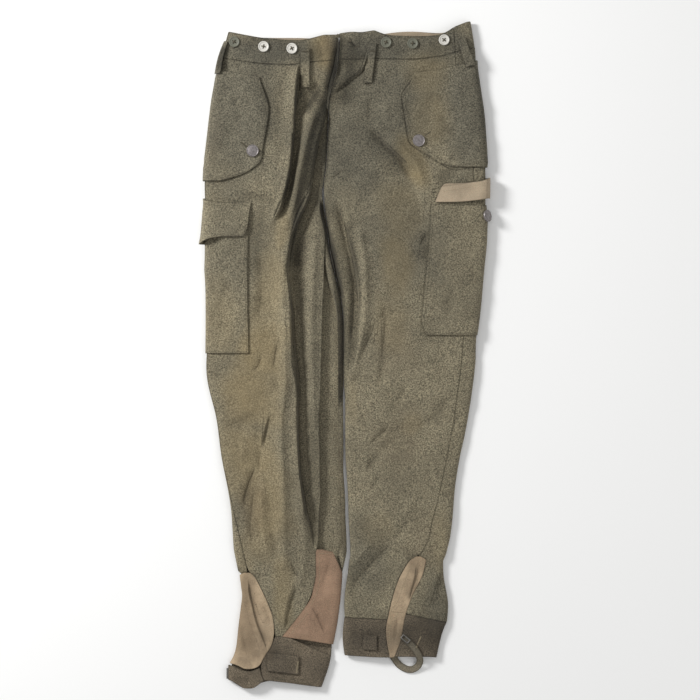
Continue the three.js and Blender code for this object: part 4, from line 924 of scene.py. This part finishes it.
# How dark the line tint makes the seams with the painted shadow along edges, the painted shade on sharp
# creases, and the painted shade beside them.
SEAM_AND_EDGE_SHADE_DARK, CREASE_SHADE, LEE_SHADE = 0.7, 0.85, 0.72
SEAM_DIP_MM, CREASE_DIP_MM, LEE_DIP_MM = 0.8, 2.4, 3.0
# How many wrinkle_mm high the small wrinkles and the wider lumps stand.
WRINKLE, LUMP = 3.4, 6.5
SLOW_PER_M, MIDDLE_PER_M, WRINKLES_PER_M, LUMPS_PER_M = 9.0, 38.0, 48.0, 20.0
# Blots of the finer strands and of the hues, in times those of the coarse strands.
FINER, HUES = 2.6, 0.7
WARM, COOL = (1.08, 0.97, 0.86), (0.94, 1.03, 0.92)
MOTTLE_DARK, MOTTLE_LIGHT, OCHRE_LIGHT = 0.78, 1.15, 1.25


def tinted(rgb, shares):
    """Linear colour of an sRGB one whose channels are multiplied by the shares."""
    return linear(*[v * share for v, share in zip(rgb, shares)])


def woven(name, base, spread, scale, mottle, sheen, nap_mm=0.4, stained=1.0, wrinkle_mm=0.5, rim_shade=0.6):
    """A cloth material. Base is its sRGB colour, spread how far strands differ from it, and scale how many
    blots of strands lie on a metre."""
    made = Cloth(name, 0.95)
    coarse = made.noise(scale, 3.0, 0.75)
    fine = made.noise(scale * FINER, 2.0, 0.7)
    hue = made.noise(scale * HUES, 3.0, 0.7)
    slow = made.noise(SLOW_PER_M, 3.0, 0.6)
    middle = made.noise(MIDDLE_PER_M, 3.0, 0.6)
    wrinkle = made.noise(WRINKLES_PER_M, 3.0, 0.5, made.stretched(1.0, 0.5, 1.0))
    lumps = made.noise(LUMPS_PER_M, 2.0, 0.5, made.stretched(1.0, 0.6, 1.0))
    pepper = coarse.step(0.38, 0.62) * 0.68 + fine.step(0.36, 0.64) * 0.32
    dark = linear(*[v * (1 - DARK_STRAND * spread) for v in base])
    light = linear(*[min(250, v * (1 + LIGHT_STRAND * spread)) for v in base])
    body = made.mix(dark, light, pepper)
    warmed = hue.step(0.5, 0.7) * HUE_SHARE
    warm = made.mix(body, tinted(base, WARM), warmed)
    cooled = (1.0 - hue.step(0.3, 0.48)) * HUE_SHARE
    cool = made.mix(warm, tinted(base, COOL), cooled)
    body = made.mix(cool, linear(*[MOTTLE_DARK * v for v in base]), (1.0 - slow.step(0.34, 0.6)) * mottle)
    body = made.mix(body, linear(*[MOTTLE_LIGHT * v for v in base]), middle.step(0.5, 0.72) * mottle)
    if stained:
        ragged = (middle - 0.5) * 0.8
        yellow = (made.attribute("ochre") + ragged * made.attribute("ochre")).step(0.05, 1.05)
        stain = made.mix(linear(*OCHRE_RGB), linear(*[OCHRE_LIGHT * v for v in OCHRE_RGB]), pepper)
        body = made.mix(body, stain, yellow * (STAIN_SHARE * stained))
        earth = made.attribute("brown").step(0.05, 1.1)
        body = made.mix(body, linear(*BROWN_RGB), earth * (STAIN_SHARE * stained))
        cold = made.mix(WHITE, COLD_TINT, made.attribute("grey") * stained)
        body = made.mix(body, cold, 1.0, "MULTIPLY")
    # Painted shade in folds, in gaps and under raised edges, and a darker tone on the waistband and a cuff.
    shade_and_tone = made.mix(WHITE, SHADE_AND_TONE_TINT, made.attribute("shade"))
    body = made.mix(body, shade_and_tone, 1.0, "MULTIPLY")
    # Dirt and painted shade in the hollows of the creases.
    dirt_and_shade = made.mix(WHITE, DIRT_AND_SHADE_TINT, made.attribute("hollow") * DIRT_AND_SHADE_SHARE)
    body = made.mix(body, dirt_and_shade, 1.0, "MULTIPLY")
    # Dark seams, and painted shadow along the edges of pieces that lie on a panel.
    seam_and_edge_shade = made.line("seam_and_edge_shade")
    # Painted shade on the sharp creases, and beside them on their dark side.
    crease = made.line("crease")
    beside_it = made.lee("crease")
    # Painted shade on the rims of each piece, where its edges turn down.
    rim = (1.0 - made.attribute("rim") * (1 / RIM_SHADE_MM)).apply("MAXIMUM", 0.0)
    dark = rim * rim_shade
    for part, share in ((seam_and_edge_shade, SEAM_AND_EDGE_SHADE_DARK), (crease, CREASE_SHADE), (beside_it, LEE_SHADE)):
        dark = dark.apply("MAXIMUM", part * share)
    made.colour(made.mix(body, made.mix(WHITE, LINE_TINT, dark), 1.0, "MULTIPLY"))
    relief = pepper * nap_mm + middle * 0.5 + wrinkle * (WRINKLE * wrinkle_mm) + lumps * (LUMP * wrinkle_mm)
    made.bump(relief - crease * CREASE_DIP_MM - beside_it * LEE_DIP_MM - seam_and_edge_shade * SEAM_DIP_MM, MM)
    made.fuzz(sheen, linear(*FUZZ_RGB))
    return made.material


MATERIALS = {
    "wool": woven("wool", (94.5, 88.5, 73), 1.3, 460.0, 0.35, 0.08),
    "band": woven("wool_band", (82, 74, 62), 1.3, 560.0, 0.7, 0.05, nap_mm=0.2, rim_shade=0.5),
    "tan": woven("cotton_tan", (168, 148, 122), 0.3, 700.0, 0.7, 0.05, nap_mm=0.12, rim_shade=0.35),
    "pink": woven("cotton_pink", (144, 118, 97), 0.3, 700.0, 0.5, 0.05, nap_mm=0.12, rim_shade=0.3),
    "lining": woven("lining", (164, 148, 126), 0.2, 800.0, 0.4, 0.05, nap_mm=0.1, stained=0.3,
                    wrinkle_mm=0.3, rim_shade=0.3),
    "webbing": woven("webbing", (112, 105, 90), 0.5, 700.0, 0.3, 0.05, nap_mm=0.15, wrinkle_mm=0.1),
}


def solid_finish(name, colour, roughness, metallic=0.0, speck=0.0, speck_colour=(40, 36, 30)):
    made = Cloth(name, roughness, metallic)
    if speck:
        spots = made.noise(300.0, 4.0, 0.65)
        made.colour(made.mix(linear(*colour), linear(*speck_colour), spots.step(0.45, 0.68) * speck))
        made.bump(spots, 0.1 * MM)
    else:
        made.shader.inputs["Base Color"].default_value = (*linear(*colour), 1.0)
    return made.material


MATERIALS["button_white"] = solid_finish("button_white", (205, 202, 194), 0.38, speck=0.25,
                                         speck_colour=(140, 132, 118))
MATERIALS["button_green"] = solid_finish("button_green", (104, 104, 90), 0.5, speck=0.4)
MATERIALS["button_metal"] = solid_finish("button_metal", (140, 134, 133), 0.4, 0.6, 0.75, (84, 78, 76))
MATERIALS["steel"] = solid_finish("steel", (128, 125, 120), 0.4, 0.85, 0.5, (70, 66, 62))
MATERIALS["thread"] = solid_finish("thread", (78, 72, 57), 0.9, speck=0.3)
MATERIALS["thread_light"] = solid_finish("thread_light", (150, 138, 112), 0.9, speck=0.3)
for node, _, cloth, _ in CLOTH:
    pieces[node].data.materials.append(MATERIALS[cloth])
print("materials", len(MATERIALS))

# %% [markdown]
# Buttons. A brace button is moulded: a disc with a raised rim, a sunk middle and four holes, sewn on with
# a cross of thread. It is modelled once from a cylinder with insets and a bevel, the holes are cut by a
# boolean, and copies are seated where the CAD buttons are.

# %% Brace buttons
def new_mesh(name):
    """The object an operator has just made, with its mesh named."""
    obj = bpy.context.view_layer.objects.active
    obj.name = name
    obj.data.name = name
    return obj


def add_cylinder(name, radius, depth, vertices, z=0.0):
    bpy.ops.object.select_all(action="DESELECT")
    bpy.ops.mesh.primitive_cylinder_add(radius=radius * MM, depth=depth * MM, vertices=vertices,
                                        location=(0, 0, z * MM))
    return new_mesh(name)


def settle(obj):
    select_only(obj)
    bpy.ops.object.transform_apply(location=True, rotation=True, scale=True)


def pick_faces(obj, test):
    """Selects the faces that pass the test, in edit mode."""
    bpy.ops.object.mode_set(mode="EDIT")
    bpy.ops.mesh.select_mode(type="FACE")
    bpy.ops.mesh.select_all(action="DESELECT")
    net = bmesh.from_edit_mesh(obj.data)
    for face in net.faces:
        face.select_set(test(face))
    bmesh.update_edit_mesh(obj.data)


BUTTON_R = 8.5
BUTTON_H = 2.4
HOLE_R = 1.05
HOLE_AT = 1.9
BUTTON_RIM, BUTTON_STEP, BUTTON_DISH, DISH_STEP = 1.6, 0.7, 0.7, 2.2
BUTTON_EDGE = 0.45
SMOOTH_ANGLE = math.radians(35)
THREAD_R, THREAD_LONG, THREAD_LANE = 0.42, 5.6, 0.35
THREAD_Z = BUTTON_H - 0.35
THREAD_OVER = 0.2


def make_brace_button():
    disc = add_cylinder("button_model", BUTTON_R, BUTTON_H, 64, BUTTON_H / 2)
    settle(disc)
    pick_faces(disc, lambda face: face.normal.z > 0.9)
    bpy.ops.mesh.inset(thickness=BUTTON_RIM * MM)
    bpy.ops.mesh.inset(thickness=BUTTON_STEP * MM)
    bpy.ops.transform.translate(value=(0, 0, -BUTTON_DISH * MM))
    bpy.ops.mesh.inset(thickness=DISH_STEP * MM)
    bpy.ops.object.mode_set(mode="OBJECT")
    bevel_edges(disc, BUTTON_EDGE, 4, SMOOTH_ANGLE)
    for x in (-HOLE_AT, HOLE_AT):
        for y in (-HOLE_AT, HOLE_AT):
            drill = add_cylinder("drill", HOLE_R, 3 * BUTTON_H, 20)
            drill.location = (x * MM, y * MM, BUTTON_H / 2 * MM)
            settle(drill)
            cut = disc.modifiers.new("Hole", "BOOLEAN")
            cut.operation = "DIFFERENCE"
            cut.object = drill
            select_only(disc)
            bpy.ops.object.modifier_apply(modifier=cut.name)
            bpy.data.objects.remove(drill, do_unlink=True)
    select_only(disc)
    bpy.ops.object.shade_smooth_by_angle(angle=SMOOTH_ANGLE)
    return disc


def make_cross():
    """A cross of thread over the four holes: two bars of four strands."""
    strands = []
    for turn in (45, -45):
        for lane in (-THREAD_LANE, THREAD_LANE):
            bpy.ops.object.select_all(action="DESELECT")
            bpy.ops.mesh.primitive_cylinder_add(radius=THREAD_R * MM, depth=THREAD_LONG * MM, vertices=8,
                                                location=(0, 0, 0), rotation=(0, math.pi / 2, 0))
            strand = new_mesh("strand")
            settle(strand)
            bpy.ops.object.mode_set(mode="EDIT")
            bpy.ops.mesh.select_all(action="SELECT")
            bpy.ops.transform.translate(value=(0, lane * MM, (THREAD_Z + THREAD_OVER * (turn > 0)) * MM))
            bpy.ops.transform.rotate(value=math.radians(turn), orient_axis="Z", center_override=(0, 0, 0))
            bpy.ops.object.mode_set(mode="OBJECT")
            strands.append(strand)
    bpy.ops.object.select_all(action="DESELECT")
    for strand in strands:
        strand.select_set(True)
    bpy.context.view_layer.objects.active = strands[0]
    bpy.ops.object.join()
    cross = new_mesh("cross_model")
    select_only(cross)
    bpy.ops.object.shade_smooth()
    return cross


def frame_of(node):
    """Place and turn of a CAD button: its middle, and the turn from +Z to its axis."""
    mesh = bpy.data.objects[node].data
    co = np.array([v.co for v in mesh.vertices])
    middle = (co.min(axis=0) + co.max(axis=0)) / 2
    _, _, axes = np.linalg.svd(co - co.mean(axis=0), full_matrices=False)
    normal = Vector(axes[2])
    if normal.z < 0:
        normal.negate()
    return Vector(middle), normal


def seated_copy(model, name, node, base_height, sink=0.0, spin=0.0):
    """A copy of a model whose base lies where the CAD button's base lies."""
    copy = bpy.data.objects.new(name, model.data.copy())
    copy.data.name = name
    bpy.context.scene.collection.objects.link(copy)
    middle, normal = frame_of(node)
    turn = Vector((0, 0, 1)).rotation_difference(normal).to_matrix().to_4x4()
    base = middle - normal * (base_height / 2 + sink) * MM
    copy.data.transform(Matrix.Translation(base) @ turn @ Matrix.Rotation(math.radians(spin), 4, "Z"))
    return copy


brace_button = make_brace_button()
cross = make_cross()
WAIST_BUTTONS = [
    # node, material, thread, spin_deg
    ("button_waist_1", "button_green", "thread", 12), ("button_waist_2", "button_white", "thread", 30),
    ("button_waist_3", "button_white", "thread", -18), ("button_waist_4", "button_green", "thread", 20),
    ("button_waist_5", "button_green", "thread", 40), ("button_waist_6", "button_white", "thread", 5),
]
for node, finish, thread, spin in WAIST_BUTTONS:
    button = seated_copy(brace_button, node + "_moulded", node, BUTTON_H, 0.0, spin)
    button.data.materials.append(MATERIALS[finish])
    sewn = seated_copy(cross, node + "_thread", node, BUTTON_H, 0.0, spin)
    sewn.data.materials.append(MATERIALS[thread])
    for made in (button, sewn):
        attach(made, BODY)
    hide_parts(node)
for model in (brace_button, cross):
    bpy.data.objects.remove(model, do_unlink=True)
print("waist buttons", len(WAIST_BUTTONS))

# %% [markdown]
# The buttons of the pockets are pressed metal: a low dome inside a rolled rim, blackened and worn pale. It
# is a cylinder whose top is inset and raised step by step and beveled, with fine dents in its skin.

# %% Metal buttons
METAL_R = 9.6
METAL_H = 2.6
METAL_EDGE = 0.3
METAL_STEPS = [
    # inset_mm, rise_mm: a rolled rim, a groove inside it, then the dome
    (0.9, 0.0), (0.5, -0.5), (1.2, 0.28), (1.6, 0.26), (1.9, 0.18), (1.8, 0.08),
]


def make_metal_button():
    disc = add_cylinder("metal_model", METAL_R, METAL_H, 72, METAL_H / 2)
    settle(disc)
    pick_faces(disc, lambda face: face.normal.z > 0.9)
    for inset, rise in METAL_STEPS:
        bpy.ops.mesh.inset(thickness=inset * MM)
        bpy.ops.transform.translate(value=(0, 0, rise * MM))
    bpy.ops.object.mode_set(mode="OBJECT")
    bevel_edges(disc, METAL_EDGE, 3, math.radians(40))
    bpy.ops.object.shade_smooth_by_angle(angle=SMOOTH_ANGLE)
    return disc


metal_button = make_metal_button()
METAL_BUTTONS = ("button_hip_right", "button_hip_left", "button_cargo_left")
for node in METAL_BUTTONS:
    button = seated_copy(metal_button, node + "_pressed", node, METAL_H)
    button.data.materials.append(MATERIALS["button_metal"])
    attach(button, BODY)
    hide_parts(node)
bpy.data.objects.remove(metal_button, do_unlink=True)
print("metal buttons", len(METAL_BUTTONS))

# %% [markdown]
# The bar on the strap's end and the small slide on the loop are bent steel. Copies of their solids get
# rounded edges with a bevel.

# %% Steel parts
STEEL_EDGE = 0.45
# The bar moves this far along the strap, to touch its end.
STEEL_SHIFT_MM = {"strap_bar_right": 1.5, "strap_slide_left": 0.0}
for node, shift in STEEL_SHIFT_MM.items():
    bent = copy_of(node, node + "_bent")
    bevel_edges(bent, STEEL_EDGE, 3, math.radians(30))
    bpy.ops.object.shade_smooth_by_angle(angle=SMOOTH_ANGLE)
    bent.data.transform(Matrix.Translation((shift * MM, 0, 0)))
    bent.data.materials.append(MATERIALS["steel"])
    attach(bent, BODY)
    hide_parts(node)
print("steel parts", len(STEEL_SHIFT_MM))

# %% [markdown]
# Sewing. One stitch is a short cylinder, pinched at its ends by a bevel. Copies of it lie along the seams:
# each row below is a line in the photo, and every stitch drops onto the cloth under it. Buttonholes and
# tacks are worked with the same stitch, laid across their line and close together.

# %% Stitches
STITCH_MM = 2.3
STITCH_R = 0.32
STITCH_PINCH = 0.12
STITCH_SINK_MM = 0.05


def make_stitch():
    bpy.ops.object.select_all(action="DESELECT")
    bpy.ops.mesh.primitive_cylinder_add(radius=STITCH_R * MM, depth=STITCH_MM * MM, vertices=6,
                                        rotation=(0, math.pi / 2, 0))
    stitch = new_mesh("stitch_model")
    settle(stitch)
    bevel_edges(stitch, STITCH_PINCH, 1, math.radians(60))
    bpy.ops.object.shade_smooth()
    return stitch


STITCHING = [
    # thread, pitch_mm, across, photo_px
    ("thread", 3.4, False, [(257, 77), (261, 91), (267.8, 110), (264.5, 126), (261.5, 140), (259.5, 154),
        (252, 165), (238, 171.5), (224, 178)]),
    ("thread", 3.4, False, [(416, 77), (405.5, 94.5), (405, 100), (411, 138), (414, 143.5), (431, 154),
        (452, 166.5), (476, 164)]),
    ("thread", 3.4, False, [(244.6, 242), (245.2, 280), (247, 351.5)]),
    ("thread", 3.4, False, [(247, 351.5), (230, 352), (208, 351.5)]),
    ("thread", 3.4, False, [(208, 200.5), (222, 202), (243, 205.3), (249.5, 206.3)]),
    ("thread", 3.4, False, [(248, 208), (246.6, 222), (244.6, 234)]),
    ("thread", 3.4, False, [(433, 209), (432.5, 224), (423.4, 331)]),
    ("thread", 3.4, False, [(424, 331.5), (445, 333.4), (476, 333.6)]),
    ("thread", 3.6, False, [(341, 37.5), (347, 32.8), (366, 33.8), (381, 33.8)]),
    ("thread", 3.6, False, [(386, 38.4), (440, 38.8)]),
    ("thread", 3.6, False, [(242, 36), (257, 40.4), (275, 41.4), (298, 43.2), (316, 38)]),
    ("thread", 3.6, False, [(341, 40), (340.6, 50), (339.6, 60), (337, 75), (333, 88)]),
    ("thread_light", 3.4, False, [(319, 553), (335, 553)]),
    ("thread_light", 3.4, False, [(319.2, 553), (319.6, 580), (317, 593), (311, 605)]),
    ("thread_light", 3.4, False, [(308, 612), (299, 624), (289, 635)]),
    ("thread_light", 3.4, False, [(256, 583), (262, 594), (270, 608), (276, 624), (273, 637), (268, 649)]),
    ("thread_light", 3.4, False, [(413, 563), (407, 574), (402, 588), (398, 600), (390.5, 611),
        (389.5, 645)]),
    ("thread_light", 3.4, False, [(443, 192), (466, 188.3), (489, 183)]),
    ("thread", 3.4, False, [(280, 640.5), (328, 647.5)]), ("thread", 3.4, False, [(268, 677), (310, 684)]),
    ("thread", 3.4, False, [(347, 619), (375, 622), (386, 621)]),
    ("thread", 3.4, False, [(346, 647), (387, 649)]), ("thread", 3.4, False, [(422, 650.5), (435, 648)]),
    ("thread", 3.4, False, [(412, 616), (442, 625)]),
    ("thread_light", 0.9, True, [(298.4, 660.5), (296.6, 672.0)]),
    ("thread_light", 0.9, True, [(421, 636), (416, 647)]),
    ("thread", 0.8, True, [(241, 142.5), (247, 147.5)]),
    ("thread", 0.8, True, [(424.5, 136), (430.5, 132.3)]),
    ("thread", 0.9, True, [(301.5, 88), (309.5, 88.3)]), ("thread", 0.9, True, [(364.5, 84), (371, 86)]),
    ("thread", 0.9, True, [(301.5, 52.5), (309.5, 52.5)]),
    ("thread", 0.9, True, [(369, 52), (375.5, 52.4)]), ("thread", 0.8, True, [(348, 42.5), (351.5, 41.3)]),
    ("thread", 0.8, True, [(354, 48), (359.5, 46.5)]), ("thread", 1.0, True, [(431.5, 190), (436, 189.2)]),
    ("thread", 1.0, True, [(432, 193), (436.4, 192.4)]),
]


def places_along(path, pitch):
    """Places in mm at an even pitch along a line, with the direction of the line there."""
    line = from_photo(path)
    steps = np.diff(line, axis=0)
    sizes = np.hypot(steps[:, 0], steps[:, 1])
    ends = np.concatenate([[0], np.cumsum(sizes)])
    for s in np.arange(0.5 * pitch, ends[-1], pitch):
        i = min(int(np.searchsorted(ends, s, side="right")) - 1, len(sizes) - 1)
        yield line[i] + steps[i] * (s - ends[i]) / sizes[i], steps[i] / sizes[i]


depsgraph = bpy.context.evaluated_depsgraph_get()
trees = [BVHTree.FromObject(piece, depsgraph) for node, piece in pieces.items() if "lining" not in node
         or "flap" in node]


RAY_FROM_M = 0.2
STEEPEST = 0.3


def on_cloth(x, y):
    """The highest place of the cloth over or under (x, y) in mm, and its normal."""
    top = None
    for tree in trees:
        hit, normal, _, _ = tree.ray_cast(Vector((x * MM, y * MM, RAY_FROM_M)), Vector((0, 0, -1)))
        if hit is not None and (top is None or hit.z > top[0].z):
            top = (hit, normal)
    return top


stitch = make_stitch()
sewn_copies = {"thread": [], "thread_light": []}
for thread, pitch, across, path in STITCHING:
    for (x, y), direction in places_along(path, pitch):
        found = on_cloth(x, y)
        if found is None or found[1].z < STEEPEST:
            continue
        hit, normal = found
        lay = Vector((direction[0], direction[1], 0))
        if across:
            lay = Vector((-direction[1], direction[0], 0))
        lay = (lay - normal * lay.dot(normal)).normalized()
        axes = Matrix((lay, normal.cross(lay), normal)).transposed().to_4x4()
        copy = bpy.data.objects.new("stitch", stitch.data.copy())
        bpy.context.scene.collection.objects.link(copy)
        copy.data.transform(Matrix.Translation(hit - normal * STITCH_SINK_MM * MM) @ axes)
        sewn_copies[thread].append(copy)
for thread, copies in sewn_copies.items():
    bpy.ops.object.select_all(action="DESELECT")
    for copy in copies:
        copy.select_set(True)
    bpy.context.view_layer.objects.active = copies[0]
    bpy.ops.object.join()
    joined = new_mesh("sewing_" + thread)
    joined.data.materials.append(MATERIALS[thread])
    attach(joined, BODY)
    print(thread, len(copies), "stitches")
bpy.data.objects.remove(stitch, do_unlink=True)

# %% [markdown]
# The studio: a plain pale floor under the garment, a large soft light from the upper left as in the
# photo, a weaker one from the right, and the camera straight above with the waist at the top.

# %% Floor, light and camera
FLOOR_M = 8.0
bpy.ops.mesh.primitive_plane_add(size=FLOOR_M, location=(0, 0, -MM))
floor = new_mesh("floor")
floor.data.materials.append(solid_finish("floor", (246, 246, 245), 0.95))
world = bpy.data.worlds.new("studio")
bpy.context.scene.world = world
world.use_nodes = True
world.node_tree.nodes["Background"].inputs["Color"].default_value = (1.0, 1.0, 1.0, 1.0)
world.node_tree.nodes["Background"].inputs["Strength"].default_value = 0.5


def add_light(name, energy, size, place):
    """A round soft light that looks at the middle of the garment."""
    light = bpy.data.lights.new(name, "AREA")
    light.energy = energy
    light.shape = "DISK"
    light.size = size
    obj = bpy.data.objects.new(name, light)
    bpy.context.scene.collection.objects.link(obj)
    obj.location = place
    obj.rotation_euler = (-Vector(place)).to_track_quat("-Z", "Y").to_euler()
    return obj


add_light("key", 72.0, 0.7, (-2.0, 1.2, 1.35))
add_light("fill", 10.0, 2.0, (1.8, -0.6, 2.2))
CAMERA_HEIGHT = 3.2
EYE_M = (0.0056, 0.008, 3.205)
VIEW_WIDTH = 1.12
SENSOR_MM = 36.0
camera = bpy.data.cameras.new("camera")
camera.sensor_width = SENSOR_MM
camera.lens = SENSOR_MM * CAMERA_HEIGHT / VIEW_WIDTH
eye = bpy.data.objects.new("camera", camera)
eye.location = EYE_M
bpy.context.scene.collection.objects.link(eye)
bpy.context.scene.camera = eye
bpy.context.scene.view_settings.view_transform = "Standard"
print("camera at", EYE_M, "m")
